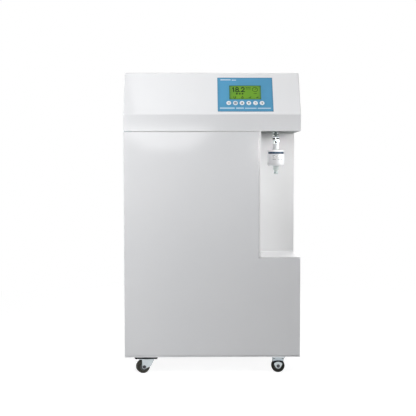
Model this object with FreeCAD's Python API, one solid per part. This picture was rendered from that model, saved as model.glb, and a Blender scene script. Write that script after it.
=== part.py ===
import FreeCAD, Part
import math
import os

V = FreeCAD.Vector

# Floor-standing ultrapure water system on casters, in millimetres.
# X runs to the right seen from the front, Y from front to back, Z up.
# The origin is on the floor, midway between the sides, the door's face and the rear fittings.

# cabinet
cabinet_width = 600.0
cabinet_depth = 560.0
unit_height = 1034.5  # floor to the head's top
sheet = 1.5  # thickness of the body panels
caster_height = 59.5  # floor to the pan's underside
base_height = 343.0  # pan's underside to the dispensing bay's floor
bay_width = 135.0
bay_depth = 203.0
bay_lip = 5.0  # front lip beside the door
flange_width = 15.0
front_flange = 30.0
pan_flange = 25.0
pan_lip = 3.0  # upturned front edge of the pan's ledge, below the door
cut_overrun = 5.0  # how far a cutting tool runs past what it cuts
full_turn = 360.0  # degrees

# console head
band_height = 55.5
slant_height = 147.5
slant_depth = 77.0
head_wall = 2.5
head_edge_radius = 2.5

# door
door_depth = 18.0
door_sheet = 1.2
door_back_gap = 3.0
door_gap = 1.5
door_return_lip = 12.0
door_edge_radius = 2.0
magnet_length = 40.0
magnet_height = 9.0
magnet_gap = 0.3
magnet_inset = 60.0

# door pivots
pivot_inset_x = 7.0
pivot_inset_y = 9.0
pivot_pin_radius = 3.0
pivot_pin_length = 13.0
pivot_clearance = 0.05
pivot_plate = 2.5
pivot_plate_length = 28.0
pivot_leg_start = 10.0
pivot_leg_height = 20.0
pivot_gap = 0.5  # between a bracket's plate and the door
sleeve_radius = 5.0
sleeve_length = 12.0
pin_hole_clearance = 0.3

# rear panel
rear_clearance = 0.5
louvre_length = 90.0
louvre_height = 5.0
louvre_pitch = 14.0
louvre_rows = 8
louvre_offset_x = 120.0
louvre_bottom = 520.0
screw_radius = 1.9
screw_hole_radius = 2.1
screw_head_radius = 4.0
screw_head_height = 2.2
screw_tip = 1.5
screw_inset = 9.0
screw_rows = 4

# control panel, on the slanted face
panel_width = 189.0
panel_height = 135.0
panel_rise = 11.3
panel_right_gap = 92.5
overlay_thickness = 0.8
lcd_width = 108.5
lcd_height = 56.0
lcd_rise = 75.5  # panel's lower edge to the display's middle
lcd_recess = 0.2
lcd_rim = 3.0
lcd_frame_thickness = 5.5
window_clearance = 0.25
board_margin = 5.0
board_thickness = 1.6
boss_radius = 3.5
boss_inset = 6.0
key_count = 6
key_radius = 8.0
key_pitch = 22.7
key_rise = 33.0
key_proud = 1.0
key_round = 0.7
key_clearance = 0.3
key_flange = 1.0
key_flange_gap = 0.1
key_travel = 0.8
stem_radius = 1.8
stem_clearance = 0.1
switch_side = 8.0
switch_height = 3.2
switch_bore_depth = 2.6
stop_gap = 0.2

# power supply, in the head
supply_width = 150.0
supply_depth = 95.0
supply_height = 45.0
supply_inset_x = 60.0
supply_inset_y = 150.0

# rear sockets
inlet_inset_x = 70.0
inlet_rise = 60.0
inlet_flange_width = 48.0
inlet_flange_height = 28.0
inlet_flange_thickness = 2.5
inlet_body_width = 29.0
inlet_body_height = 21.0
inlet_body_depth = 20.0
inlet_cavity_width = 25.0
inlet_cavity_height = 17.0
inlet_cavity_depth = 16.0
blade_width = 2.0
blade_height = 4.0
blade_length = 14.0
blade_spread = 7.0
blade_rise = 3.5
cutout_clearance = 0.4
switch_gap = 14.0
rocker_frame_width = 19.0
rocker_frame_height = 27.0
rocker_frame_depth = 16.0
rocker_frame_wall = 2.5
rocker_flange = 2.0
rocker_width = 13.2
rocker_length = 20.0
rocker_back = 4.0
rocker_front = 4.6
rocker_tilt = 8.0  # degrees each side of the middle
trunnion_radius = 1.5
trunnion_length = 1.2
trunnion_clearance = 0.1

# rear water fittings
fitting_reach = 20.0  # how far they stand out of the rear panel
fitting_radius = 8.5
fitting_neck_radius = 6.0
fitting_nut_height = 6.0
fitting_inner_length = 20.0
fitting_hole_clearance = 0.3
port_radius = 3.25
port_depth = 14.0
tube_radius = 3.2
tube_clearance = 0.1
tube_socket = 8.0
bend_share = 0.45  # a bend's setback as a share of its shorter run

# dispenser and final filter
nozzle_inset_x = 75.0
nozzle_inset_y = 100.0
bushing_radius = 11.5
bushing_length = 16.5
bushing_thread_radius = 8.0
bushing_nut_radius = 13.0
bushing_nut_height = 6.0
bushing_stub_radius = 6.0
bushing_stub_length = 12.0
coupling_radius = 11.0
coupling_length = 25.0
coupling_bore_radius = 6.2
coupling_neck_radius = 9.0
coupling_nut_height = 9.5
coupling_nut_sides = 6
coupling_groove = 3.0
coupling_bevel = 1.2
spigot_radius = 6.0
spigot_length = 20.0
hub_radius = 10.8
hub_length = 20.0
capsule_radius = 30.0
capsule_dome = 7.0
capsule_band_height = 10.0
capsule_body = 36.5
capsule_foot = 3.0
capsule_flange = 3.0  # plain flange above the band
flange_inset = 0.8
band_thickness = 1.2
band_inset = 3.6
outlet_radius = 10.5
outlet_length = 14.5
tip_radius = 7.5
tip_length = 14.0
tip_bore_radius = 5.0
tip_bore_depth = 11.0
seat_gap = 0.2

# dispensing valve, on the head's floor
valve_side = 38.0
valve_height = 30.0
coil_radius = 14.0
coil_height = 34.0
valve_bore_clearance = 0.1

# casters
caster_inset_x = 72.5
caster_inset_y = 34.0
wheel_radius = 23.0
wheel_side_gap = 2.0  # tyre to fork leg
wheel_round = 3.0
rim_radius = 13.0
rim_thickness = 2.5
rim_inset = 1.0  # how far the rim stays in from the tyre's side
web_width = 7.0
hub_side_gap = 0.3  # hub to fork leg
wheel_hub_radius = 8.0
axle_radius = 4.0
axle_clearance = 0.05
axle_head_radius = 6.0
axle_head_height = 4.0
leg_thickness = 2.5
leg_spacing = 24.0
leg_foot_radius = 7.5
leg_hole_clearance = 0.1
caster_plate_thickness = 5.5
swivel_plate_length = 78.0
swivel_plate_width = 56.0
swivel_bolt_x = 33.0  # half the spacing along the plate
swivel_bolt_y = 20.0  # half the spacing across it
rigid_plate_width = 43.0
rigid_plate_length = 60.0
rigid_bolt_x = 15.0
rigid_bolt_y = 22.0
bolt_radius = 3.0
bolt_hole_radius = 3.3
bolt_head_radius = 5.2
bolt_head_height = 3.3
bolt_nut_height = 2.0
race_radius = 24.0
race_height = 1.5
crown_radius = 31.0
crown_thickness = 2.5
crown_gap = 0.3
fork_lead = 27.0  # kingpin to the leg's leading top corner
fork_tail = 21.0  # kingpin to its trailing top corner
fork_knee = 12.0  # kingpin to the knee in its leading edge
fork_knee_height = 24.0  # above the floor
rigid_leg_half = 20.5
kingpin_radius = 4.0
kingpin_head_radius = 6.5
kingpin_head_height = 2.5
trail = 13.0
front_swivel_angle = 203.0  # degrees from +X to the trailing wheel
rear_swivel_angle = 158.0

# cartridge rack
bowl_count = 3
bowl_collar_share = 0.086  # a collar's radius as a share of the width left of the bay
bowl_collar_step = 4.0  # how far a collar stands out of its bowl
bowl_collar_height = 28.0
bowl_length_share = 0.6107  # of the bay's height
bowl_wall = 4.0
bowl_gap = 6.0
bowl_standoff = 52.0  # bowl axis to the equipment plate
bowl_top_drop = 66.0  # below the head
rack_side_gap = 12.0
manifold_cap_height = 34.0
spine_depth = 26.0
spine_height = 42.0
spine_tail = 26.0
column_share = 0.0645  # a column's radius as a share of the width left of the bay
column_length_share = 0.7226  # of the bay's height
column_cap_step = 2.5  # how far a cap stands out of its column
column_cap_height = 22.0
column_gap = 4.0
column_standoff = 46.0
column_top_drop = 64.0
column_port_radius = 6.0
column_port_length = 10.0

# reverse osmosis vessel, lying across the base
vessel_radius = 36.0
vessel_line_gap = 2.2  # vessel's right end to the raw water's drop tube
vessel_cap_radius = 40.0
vessel_cap_length = 28.0
vessel_standoff = 50.0
vessel_drop = 62.0  # below the bay's floor
vessel_side_gap = 10.0

# booster pump
motor_radius = 36.0
motor_length = 112.0
pump_head_length = 46.0
pump_head_side = 78.0
pump_side_gap = 30.0
pump_foot_height = 22.0
pump_foot_width = 60.0
pump_rear_gap = 12.0

# ultraviolet reactor, standing under the bay
reactor_radius = 26.0
reactor_wall = 1.5
reactor_length = 272.0
reactor_cap_height = 18.0
reactor_cap_radius = 28.0
reactor_standoff = 46.0
reactor_inset_x = 62.0
reactor_port_radius = 6.0
reactor_port_length = 10.0
reactor_port_inset = 30.0
reactor_lift = 6.0

# clips that hold the columns, the vessel and the reactor on the plate
clip_height = 16.0
clip_wall = 3.0
clip_clearance = 0.2
clip_inset = 52.0
clip_foot_share = 0.6  # foot's width as a share of the ring's diameter

# pressure tank, behind the equipment plate
tank_radius = 112.0
tank_wall = 2.5
tank_dome = 60.0
tank_height = 300.0
tank_foot_radius = 70.0
tank_foot_height = 18.0
tank_column_gap = 37.0  # the first column's axis to the tank's, along X
tank_neck_radius = 14.0
tank_neck_height = 14.0

# derived places
left_x = -cabinet_width / 2
right_x = cabinet_width / 2
front_y = -(cabinet_depth + fitting_reach) / 2
rear_y = front_y + cabinet_depth
body_front_y = front_y + door_depth + door_back_gap
pan_z = caster_height
bay_floor_z = pan_z + base_height
head_top_z = unit_height
band_top_z = head_top_z - slant_height
head_z = band_top_z - band_height
bay_height = head_z - bay_floor_z
bay_x = right_x - bay_width
rack_width = bay_x - left_x
bowl_collar_radius = bowl_collar_share * rack_width
bowl_radius = bowl_collar_radius - bowl_collar_step
bowl_length = bowl_length_share * bay_height
column_radius = column_share * rack_width
column_length = column_length_share * bay_height
column_cap_radius = column_radius + column_cap_step
rack_start_x = left_x + sheet + rack_side_gap
bowl_pitch = 2 * bowl_collar_radius + bowl_gap
spine_end_x = rack_start_x + bowl_count * bowl_pitch - bowl_gap + spine_tail
drop_x = spine_end_x - spine_tail / 2
vessel_start_x = left_x + 2 * sheet + vessel_side_gap
vessel_length = drop_x - tube_radius - vessel_line_gap - vessel_start_x
bay_back_y = front_y + bay_depth
plate_y = bay_back_y + 2 * sheet
slope_length = math.hypot(slant_height, slant_depth)
slope_turn = math.degrees(math.atan2(slant_height, slant_depth))
panel_x1 = right_x - panel_right_gap
panel_x0 = panel_x1 - panel_width
panel_x = (panel_x0 + panel_x1) / 2
nozzle_x = right_x - nozzle_inset_x
nozzle_y = front_y + nozzle_inset_y
trunk_z = head_z - bushing_length - coupling_length
wheel_width = leg_spacing - 2 * wheel_side_gap
rim_width = wheel_width - 2 * rim_inset
hub_width = leg_spacing - 2 * hub_side_gap
down = V(0, 0, -1)
up = V(0, 0, 1)
back = V(0, 1, 0)
forward = V(0, -1, 0)
rightward = V(1, 0, 0)
centre = V(0, 0, 0)


def slab(x0, x1, y0, y1, z0, z1):
    """A box between two corners."""
    return Part.makeBox(x1 - x0, y1 - y0, z1 - z0, V(x0, y0, z0))


def rod(radius, length, base, direction):
    """A round bar from its base along a direction."""
    return Part.makeCylinder(radius, length, base, direction)


def join(shapes):
    """One solid from pieces that touch."""
    whole = shapes[0]
    for piece in shapes[1:]:
        whole = whole.fuse(piece)
    return whole.removeSplitter()


def cut_away(shape, tools):
    """The shape with every tool cut out of it."""
    for tool in tools:
        shape = shape.cut(tool)
    return shape


def prism(outline, thickness, direction):
    """A flat outline of points pushed along a direction."""
    face = Part.Face(Part.makePolygon(outline + outline[:1]))
    return face.extrude(direction * thickness)


def turned(profile, base, axis):
    """A solid of revolution from (radius, height) pairs along an axis at a base point."""
    points = [V(radius, 0, height) for radius, height in profile]
    face = Part.Face(Part.makePolygon(points + points[:1]))
    solid = face.revolve(centre, up, full_turn)
    solid.Placement = FreeCAD.Placement(base, FreeCAD.Rotation(up, axis))
    return solid


def tube(points, radius):
    """A round tube along straight runs joined by tangent arcs."""
    edges = []
    start = points[0]
    for before, corner, after in zip(points, points[1:], points[2:]):
        arrive = before - corner
        leave = after - corner
        setback = bend_share * min(arrive.Length, leave.Length)
        half_turn = (math.pi - arrive.getAngle(leave)) / 2
        bend = setback / math.tan(half_turn)
        first = corner + arrive * (setback / arrive.Length)
        last = corner + leave * (setback / leave.Length)
        inward = (first + last) / 2 - corner
        middle = corner + inward * ((bend / math.cos(half_turn) - bend) / inward.Length)
        edges.append(Part.LineSegment(start, first).toShape())
        edges.append(Part.Arc(first, middle, last).toShape())
        start = last
    edges.append(Part.LineSegment(start, points[-1]).toShape())
    path = Part.Wire(edges)
    ring = Part.Wire(Part.makeCircle(radius, points[0], points[1] - points[0]))
    return path.makePipeShell([ring], True, False)


def on_slope(shape):
    """Moves a shape from the flat panel frame onto the head's slanted face."""
    shape = shape.copy()
    shape.rotate(centre, rightward, slope_turn)
    shape.translate(V(0, front_y, band_top_z))
    return shape


def save(name, shapes):
    """Writes one named piece, or a group of like pieces, to its file."""
    if isinstance(shapes, list):
        shapes = Part.makeCompound(shapes)
    shapes.exportStep("parts/" + name + ".step")


# cabinet panels

def caster_places():
    """Middle of each caster's plate: name, x, y and whether it swivels."""
    near_y = front_y + caster_inset_y
    far_y = rear_y - caster_inset_y
    return [
        ("front", left_x + caster_inset_x, near_y, True),
        ("rear", left_x + caster_inset_x, far_y, True),
        ("front", right_x - caster_inset_x, near_y, False),
        ("rear", right_x - caster_inset_x, far_y, False),
    ]


def bolt_places(x, y, swivels):
    """The four bolts of one caster."""
    half_x, half_y = rigid_bolt_x, rigid_bolt_y
    if swivels:
        half_x, half_y = swivel_bolt_x, swivel_bolt_y
    return [V(x + i * half_x, y + j * half_y, 0) for i in (-1, 1) for j in (-1, 1)]


def base_pan():
    pan = slab(left_x + sheet, right_x - sheet, body_front_y, rear_y - sheet,
               pan_z, pan_z + pan_flange)
    hollow = slab(left_x + 2 * sheet, right_x - 2 * sheet, body_front_y + sheet,
                  rear_y - 2 * sheet, pan_z + sheet, pan_z + pan_flange + cut_overrun)
    ledge = slab(left_x, right_x, front_y, body_front_y, pan_z, pan_z + sheet)
    lip = slab(left_x, right_x, front_y, front_y + sheet, pan_z, pan_z + pan_lip)
    holes = []
    for name, x, y, swivels in caster_places():
        for spot in bolt_places(x, y, swivels):
            low = spot + up * (pan_z - cut_overrun)
            holes.append(rod(bolt_hole_radius, 2 * cut_overrun + sheet, low, up))
    return cut_away(join([pan.cut(hollow), ledge, lip]), holes)


def screw_heights():
    """Heights of the rear panel's screws, evenly spread."""
    low = pan_z + pan_flange + screw_inset
    high = head_z - pan_flange
    step = (high - low) / (screw_rows - 1)
    return [low + row * step for row in range(screw_rows)]


def screw_places():
    side = cabinet_width / 2 - screw_inset
    return [V(x, rear_y, z) for x in (-side, side) for z in screw_heights()]


def side_panel(outer_x, inward):
    """A folded side tray; inward is 1 on the left side and -1 on the right."""
    def strip(width, y0, y1, z0, z1):
        x = outer_x + inward * width
        return slab(min(outer_x, x), max(outer_x, x), y0, y1, z0, z1)

    flange_z = pan_z + pan_flange
    pieces = [
        strip(sheet, body_front_y, rear_y, pan_z, head_z),
        strip(front_flange, body_front_y, body_front_y + sheet, flange_z, head_z),
        strip(flange_width, rear_y - 2 * sheet, rear_y - sheet, flange_z, head_z),
        strip(flange_width, body_front_y, rear_y - sheet, head_z - sheet, head_z),
    ]
    tray = join(pieces)
    if inward < 0:
        notch = slab(right_x - front_flange - cut_overrun, right_x + cut_overrun,
                     front_y, bay_back_y + sheet, bay_floor_z - sheet,
                     head_z + cut_overrun)
        edge = strip(flange_width, bay_back_y + sheet, plate_y, bay_floor_z, head_z)
        tray = join([tray.cut(notch), edge])
    holes = [rod(screw_hole_radius, 3 * sheet, spot + forward * (2.5 * sheet), back)
             for spot in screw_places() if spot.x * outer_x > 0]
    return cut_away(tray, holes)


def rear_panel():
    panel = slab(left_x + sheet + rear_clearance, right_x - sheet - rear_clearance,
                 rear_y - sheet, rear_y, pan_z, head_z)
    tools = [rod(screw_hole_radius, 3 * sheet, spot + forward * (2 * sheet), back)
             for spot in screw_places()]
    for x in (-louvre_offset_x, louvre_offset_x):
        for row in range(louvre_rows):
            z = louvre_bottom + row * louvre_pitch
            tools.append(slab(x - louvre_length / 2, x + louvre_length / 2,
                              rear_y - 2 * sheet, rear_y + sheet, z, z + louvre_height))
    hole = fitting_neck_radius + fitting_hole_clearance
    tools += [rod(hole, 3 * sheet, spot + forward * (2 * sheet), back)
              for spot in fitting_places()]
    for x, width, height in socket_places():
        z = pan_z + inlet_rise
        tools.append(slab(x - width / 2 - cutout_clearance, x + width / 2 + cutout_clearance,
                          rear_y - 2 * sheet, rear_y + sheet,
                          z - height / 2 - cutout_clearance,
                          z + height / 2 + cutout_clearance))
    return cut_away(panel, tools)


def rear_screws():
    screws = []
    for spot in screw_places():
        shank = rod(screw_radius, 2 * sheet + screw_tip,
                    spot + forward * (2 * sheet + screw_tip), back)
        screws.append(join([shank, rod(screw_head_radius, screw_head_height, spot, back)]))
    return screws


def bay_side_wall():
    foot_z = bay_floor_z - sheet
    wall = slab(bay_x - sheet, bay_x, front_y, bay_back_y, foot_z, head_z)
    lip = slab(bay_x - bay_lip, bay_x, front_y, front_y + sheet, foot_z, head_z)
    top = slab(bay_x - flange_width, bay_x, body_front_y, bay_back_y,
               head_z - sheet, head_z)
    return join([wall, lip, top])


def bay_back_wall():
    return slab(bay_x - flange_width, right_x, bay_back_y, bay_back_y + sheet,
                bay_floor_z - sheet, head_z)


def bay_shelf():
    """The bay's floor, set between its two walls, with a folded apron behind the door."""
    shelf = slab(bay_x, right_x, front_y, bay_back_y, bay_floor_z - sheet, bay_floor_z)
    apron = slab(bay_x, right_x - front_flange, body_front_y, body_front_y + sheet,
                 bay_floor_z - pan_flange, bay_floor_z)
    return join([shelf, apron])


def equipment_plate():
    side = 2 * sheet
    plate = slab(left_x + side, right_x - side, plate_y, plate_y + sheet,
                 pan_z + sheet, head_z - sheet)
    hole = tube_radius + cut_overrun
    tools = [rod(hole, 3 * sheet, spot + forward * sheet, back)
             for spot in plate_tube_places()]
    return cut_away(plate, tools)


# console head

def head_profile(wall, foot_z):
    """The head's side outline, drawn in by a wall thickness, as points at x = 0."""
    slope_cos = slant_height / slope_length
    slope_sin = slant_depth / slope_length
    low_step = wall * (1 - slope_cos) / slope_sin
    high_step = (slant_height - wall + wall * slope_sin) / slope_cos
    low_z = band_top_z - wall * slope_sin + low_step * slope_cos
    high_y = front_y + wall * slope_cos + high_step * slope_sin
    return [
        V(0, front_y + wall, foot_z),
        V(0, front_y + wall, low_z),
        V(0, high_y, head_top_z - wall),
        V(0, rear_y - wall, head_top_z - wall),
        V(0, rear_y - wall, foot_z),
    ]


def across(outline, x0, x1):
    """An outline at x = 0 pushed from one x to another."""
    return prism([point + rightward * x0 for point in outline], x1 - x0, rightward)


def board_span():
    """The control board's lowest and highest corner in the panel frame."""
    low = V(panel_x0 + board_margin, panel_rise + board_margin, 0)
    high = V(panel_x1 - board_margin, panel_rise + panel_height - board_margin, 0)
    return low, high


def boss_places():
    low, high = board_span()
    return [V(x, y, 0) for x in (low.x + boss_inset, high.x - boss_inset)
            for y in (low.y + boss_inset, high.y - boss_inset)]


def key_places():
    first = panel_x - (key_count - 1) * key_pitch / 2
    return [V(first + n * key_pitch, panel_rise + key_rise, 0) for n in range(key_count)]


def window_tool(depth, height):
    """The display's opening, from a depth below the slanted face to a height above it."""
    half_x = lcd_width / 2 + window_clearance
    half_y = lcd_height / 2 + window_clearance
    middle = panel_rise + lcd_rise
    return slab(panel_x - half_x, panel_x + half_x, middle - half_y, middle + half_y,
                -depth, height)


def key_tools(depth, height):
    return [rod(key_radius + key_clearance, depth + height, spot + down * depth, up)
            for spot in key_places()]


def head_shell():
    outer = across(head_profile(0, head_z), left_x, right_x)
    above = [edge for edge in outer.Edges
             if max(point.Z for point in edge.Vertexes) > head_z + head_edge_radius]
    outer = outer.makeFillet(head_edge_radius, above)
    inner = across(head_profile(head_wall, head_z - cut_overrun),
                   left_x + head_wall, right_x - head_wall)
    shell = outer.cut(inner)
    tools = [window_tool(head_wall + cut_overrun, cut_overrun)]
    tools += key_tools(head_wall + cut_overrun, cut_overrun)
    shell = cut_away(shell, [on_slope(tool) for tool in tools])
    bosses = [rod(boss_radius, lcd_frame_thickness + head_wall / 2,
                  spot + down * (head_wall + lcd_frame_thickness), up)
              for spot in boss_places()]
    return join([shell] + [on_slope(boss) for boss in bosses])


def head_floor():
    floor = slab(left_x + head_wall, right_x - head_wall, front_y + head_wall,
                 rear_y - head_wall, head_z, head_z + sheet)
    hole = bushing_thread_radius + pin_hole_clearance
    tools = [
        rod(hole, 3 * sheet, V(nozzle_x, nozzle_y, head_z - sheet), up),
        rod(tube_radius + cut_overrun, 3 * sheet, riser_place() + up * (head_z - sheet), up),
    ]
    return cut_away(floor, tools)


def panel_overlay():
    sheet_piece = slab(panel_x0, panel_x1, panel_rise, panel_rise + panel_height,
                       0, overlay_thickness)
    tools = [window_tool(cut_overrun, cut_overrun)] + key_tools(cut_overrun, 2 * cut_overrun)
    return on_slope(cut_away(sheet_piece, tools))


def lcd_display():
    middle = panel_rise + lcd_rise
    half_x = lcd_width / 2
    half_y = lcd_height / 2
    glass = slab(panel_x - half_x, panel_x + half_x, middle - half_y, middle + half_y,
                 -head_wall, overlay_thickness - lcd_recess)
    frame = slab(panel_x - half_x - lcd_rim, panel_x + half_x + lcd_rim,
                 middle - half_y - lcd_rim, middle + half_y + lcd_rim,
                 -head_wall - lcd_frame_thickness, -head_wall)
    return on_slope(join([glass, frame]))


def control_board():
    low, high = board_span()
    face = -head_wall - lcd_frame_thickness
    board = slab(low.x, high.x, low.y, high.y, face - board_thickness, face)
    pieces = [board]
    for spot in key_places():
        half = switch_side / 2
        body = slab(spot.x - half, spot.x + half, spot.y - half, spot.y + half,
                    face, face + switch_height)
        bore = rod(stem_radius + stem_clearance, switch_bore_depth + cut_overrun,
                   spot + up * (face + switch_height - switch_bore_depth), up)
        pieces.append(body.cut(bore))
    return [on_slope(piece) for piece in pieces]


def control_key(spot):
    flange_top = -head_wall - key_flange_gap
    flange_low = flange_top - key_flange
    bore_end = -head_wall - lcd_frame_thickness + switch_height - switch_bore_depth
    stem_end = bore_end + key_travel + stop_gap
    cap = rod(key_radius, overlay_thickness + key_proud - flange_low,
              spot + up * flange_low, up)
    crown = [edge for edge in cap.Edges
             if edge.BoundBox.ZMin > overlay_thickness and len(edge.Vertexes) == 1]
    cap = cap.makeFillet(key_round, crown)
    flange = rod(key_radius + key_flange, key_flange, spot + up * flange_low, up)
    stem = rod(stem_radius, flange_low - stem_end, spot + up * stem_end, up)
    return on_slope(join([cap, flange, stem]))


def power_supply():
    x = left_x + supply_inset_x
    y = front_y + supply_inset_y
    z = head_z + sheet
    return slab(x, x + supply_width, y, y + supply_depth, z, z + supply_height)


# door

def door_bottom_z():
    return pan_z + sheet + pivot_plate + pivot_gap


def door_top_z():
    return head_z - pivot_plate - pivot_gap


def door_outline(inset, y):
    """The door's L-shaped outline, drawn in by an inset, at one y."""
    x0 = left_x + inset
    x1 = right_x - inset
    step_x = bay_x - bay_lip - door_gap - inset
    z0 = door_bottom_z() + inset
    step_z = bay_floor_z - sheet - door_gap - inset
    z1 = door_top_z() - inset
    return [V(x0, y, z0), V(x1, y, z0), V(x1, y, step_z), V(step_x, y, step_z),
            V(step_x, y, z1), V(x0, y, z1)]


def pivot_point(z):
    return V(left_x + pivot_inset_x, front_y + pivot_inset_y, z)


def door_panel():
    block = prism(door_outline(0, front_y), door_depth, back)
    rim = [edge for edge in block.Edges if edge.BoundBox.YMax < front_y + door_sheet]
    block = block.makeFillet(door_edge_radius, rim)
    inside = prism(door_outline(door_sheet, front_y + door_sheet),
                   door_depth - 2 * door_sheet, back)
    mouth = prism(door_outline(door_return_lip, front_y + door_sheet),
                  door_depth + cut_overrun, back)
    hole_radius = pivot_pin_radius + pin_hole_clearance
    low = pivot_point(door_bottom_z() - cut_overrun)
    high = pivot_point(door_top_z() - door_sheet - cut_overrun)
    depth = door_sheet + 2 * cut_overrun
    holes = [rod(hole_radius, depth, low, up), rod(hole_radius, depth, high, up)]
    return cut_away(block, [inside, mouth] + holes)


def door_sleeves():
    low_z = door_bottom_z() + door_sheet
    high_z = door_top_z() - door_sheet - sleeve_length
    sleeves = []
    for z in (low_z, high_z):
        outer = rod(sleeve_radius, sleeve_length, pivot_point(z), up)
        bore = rod(pivot_pin_radius + pivot_clearance, sleeve_length + 2 * cut_overrun,
                   pivot_point(z - cut_overrun), up)
        sleeves.append(outer.cut(bore))
    return sleeves


def pivot_brackets():
    """A lower and an upper bracket, each a plate with a leg and a pin."""
    x0 = left_x + door_sheet
    x1 = x0 + pivot_plate_length
    y0 = front_y + pivot_inset_y - sleeve_radius
    leg_x = left_x + pivot_inset_x + pivot_leg_start
    brackets = []
    for z, turn in ((pan_z + sheet, 1), (head_z, -1)):
        far_z = z + turn * pivot_plate
        leg_z = z + turn * pivot_leg_height
        plate = slab(x0, x1, y0, body_front_y, min(z, far_z), max(z, far_z))
        leg = slab(leg_x, x1, body_front_y - pivot_plate, body_front_y,
                   min(z, leg_z), max(z, leg_z))
        pin = rod(pivot_pin_radius, pivot_pin_length, pivot_point(far_z), up * turn)
        brackets.append(join([plate, leg, pin]))
    return brackets


def door_magnets():
    x1 = right_x - magnet_inset
    y0 = front_y + door_depth + magnet_gap
    strips = []
    top_z = bay_floor_z - sheet - door_gap - door_sheet
    low_z = door_bottom_z() + door_sheet
    for z in (top_z - magnet_height, low_z):
        strips.append(slab(x1 - magnet_length, x1, y0, body_front_y, z, z + magnet_height))
    return strips


# rear sockets and fittings

def socket_places():
    """Middle x, width and height of the mains inlet's and the switch's cutouts."""
    inlet_x = left_x + inlet_inset_x
    switch_x = inlet_x + inlet_flange_width / 2 + switch_gap + rocker_frame_width / 2
    return [(inlet_x, inlet_body_width, inlet_body_height),
            (switch_x, rocker_frame_width, rocker_frame_height)]


def mains_inlet():
    x, width, height = socket_places()[0]
    z = pan_z + inlet_rise

    def centred(wide, high, y0, y1):
        return slab(x - wide / 2, x + wide / 2, y0, y1, z - high / 2, z + high / 2)

    face_y = rear_y + inlet_flange_thickness
    flange = centred(inlet_flange_width, inlet_flange_height, rear_y, face_y)
    body = centred(width, height, rear_y - inlet_body_depth, rear_y)
    floor_y = face_y - inlet_cavity_depth
    cavity = centred(inlet_cavity_width, inlet_cavity_height, floor_y, face_y + cut_overrun)
    shell = join([flange, body]).cut(cavity)
    blades = []
    for dx, dz in ((-blade_spread, -blade_rise), (blade_spread, -blade_rise),
                   (0, blade_rise)):
        blades.append(slab(x + dx - blade_width / 2, x + dx + blade_width / 2,
                           floor_y - blade_width, floor_y + blade_length,
                           z + dz - blade_height / 2, z + dz + blade_height / 2))
    return join([shell] + blades)


def rocker_pivot():
    x = socket_places()[1][0]
    return V(x, rear_y - rocker_back / 2, pan_z + inlet_rise)


def rocker_frame():
    x, width, height = socket_places()[1]
    z = pan_z + inlet_rise
    half_x = width / 2
    half_z = height / 2
    body = slab(x - half_x, x + half_x, rear_y - rocker_frame_depth, rear_y,
                z - half_z, z + half_z)
    rim = slab(x - half_x - rocker_flange, x + half_x + rocker_flange, rear_y,
               rear_y + rocker_flange, z - half_z - rocker_flange,
               z + half_z + rocker_flange)
    cavity = slab(x - half_x + rocker_frame_wall, x + half_x - rocker_frame_wall,
                  rear_y - rocker_frame_depth + rocker_frame_wall, rear_y + cut_overrun,
                  z - half_z + rocker_frame_wall, z + half_z - rocker_frame_wall)
    pivot = rocker_pivot()
    bore_length = rocker_width + 2 * trunnion_length + 2 * trunnion_clearance
    bore = rod(trunnion_radius + trunnion_clearance, bore_length,
               pivot - rightward * (bore_length / 2), rightward)
    return cut_away(join([body, rim]), [cavity, bore])


def rocker():
    pivot = rocker_pivot()
    half = rocker_length / 2
    shoulder = rocker_front - half * math.tan(math.radians(rocker_tilt))
    outline = [V(0, -rocker_back, -half), V(0, shoulder, -half), V(0, rocker_front, 0),
               V(0, shoulder, half), V(0, -rocker_back, half)]
    body = across(outline, -rocker_width / 2, rocker_width / 2)
    length = rocker_width + 2 * trunnion_length
    pin = rod(trunnion_radius, length, V(-length / 2, 0, 0), rightward)
    whole = join([body, pin])
    whole.rotate(centre, rightward, rocker_tilt)
    whole.translate(pivot)
    return whole


def fitting_places():
    """Feed inlet, then drain and treated-water outlets, on the rear panel's face."""
    vessel = vessel_middle()
    drain_x = vessel.x - vessel_length / 2 + vessel_cap_length
    product_x = drain_x + 2 * vessel_cap_radius
    return [
        V(bowl_places()[0].x, rear_y, manifold_port_z()),
        V(drain_x, rear_y, vessel.z),
        V(product_x, rear_y, vessel.z),
    ]


def rear_fittings():
    fittings = []
    for spot in fitting_places():
        collar = rod(fitting_radius, fitting_reach, spot, back)
        inner = spot + forward * fitting_inner_length
        neck = rod(fitting_neck_radius, fitting_inner_length + fitting_nut_height, inner, back)
        nut = rod(fitting_radius, fitting_nut_height,
                  spot + forward * (sheet + fitting_nut_height), back)
        port = rod(port_radius, port_depth + cut_overrun,
                   spot + back * (fitting_reach - port_depth), back)
        socket = rod(tube_radius + tube_clearance, tube_socket + cut_overrun,
                     inner + forward * cut_overrun, back)
        fittings.append(cut_away(join([collar, neck, nut]), [port, socket]))
    return fittings


# dispenser and final filter

def dispense_bushing():
    axis = V(nozzle_x, nozzle_y, 0)
    floor_z = head_z + sheet
    pieces = [
        rod(bushing_radius, bushing_length, axis + up * (head_z - bushing_length), up),
        rod(bushing_thread_radius, sheet, axis + up * head_z, up),
        rod(bushing_nut_radius, bushing_nut_height, axis + up * floor_z, up),
        rod(bushing_stub_radius, bushing_stub_length,
            axis + up * (floor_z + bushing_nut_height), up),
    ]
    return join(pieces)


def nut_bar(radius, sides, length, base):
    """A many-sided bar along Z, by the radius to its corners."""
    points = []
    for corner in range(sides):
        angle = math.radians(full_turn * corner / sides)
        points.append(base + V(radius * math.cos(angle), radius * math.sin(angle), 0))
    return prism(points, length, up)


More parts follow.
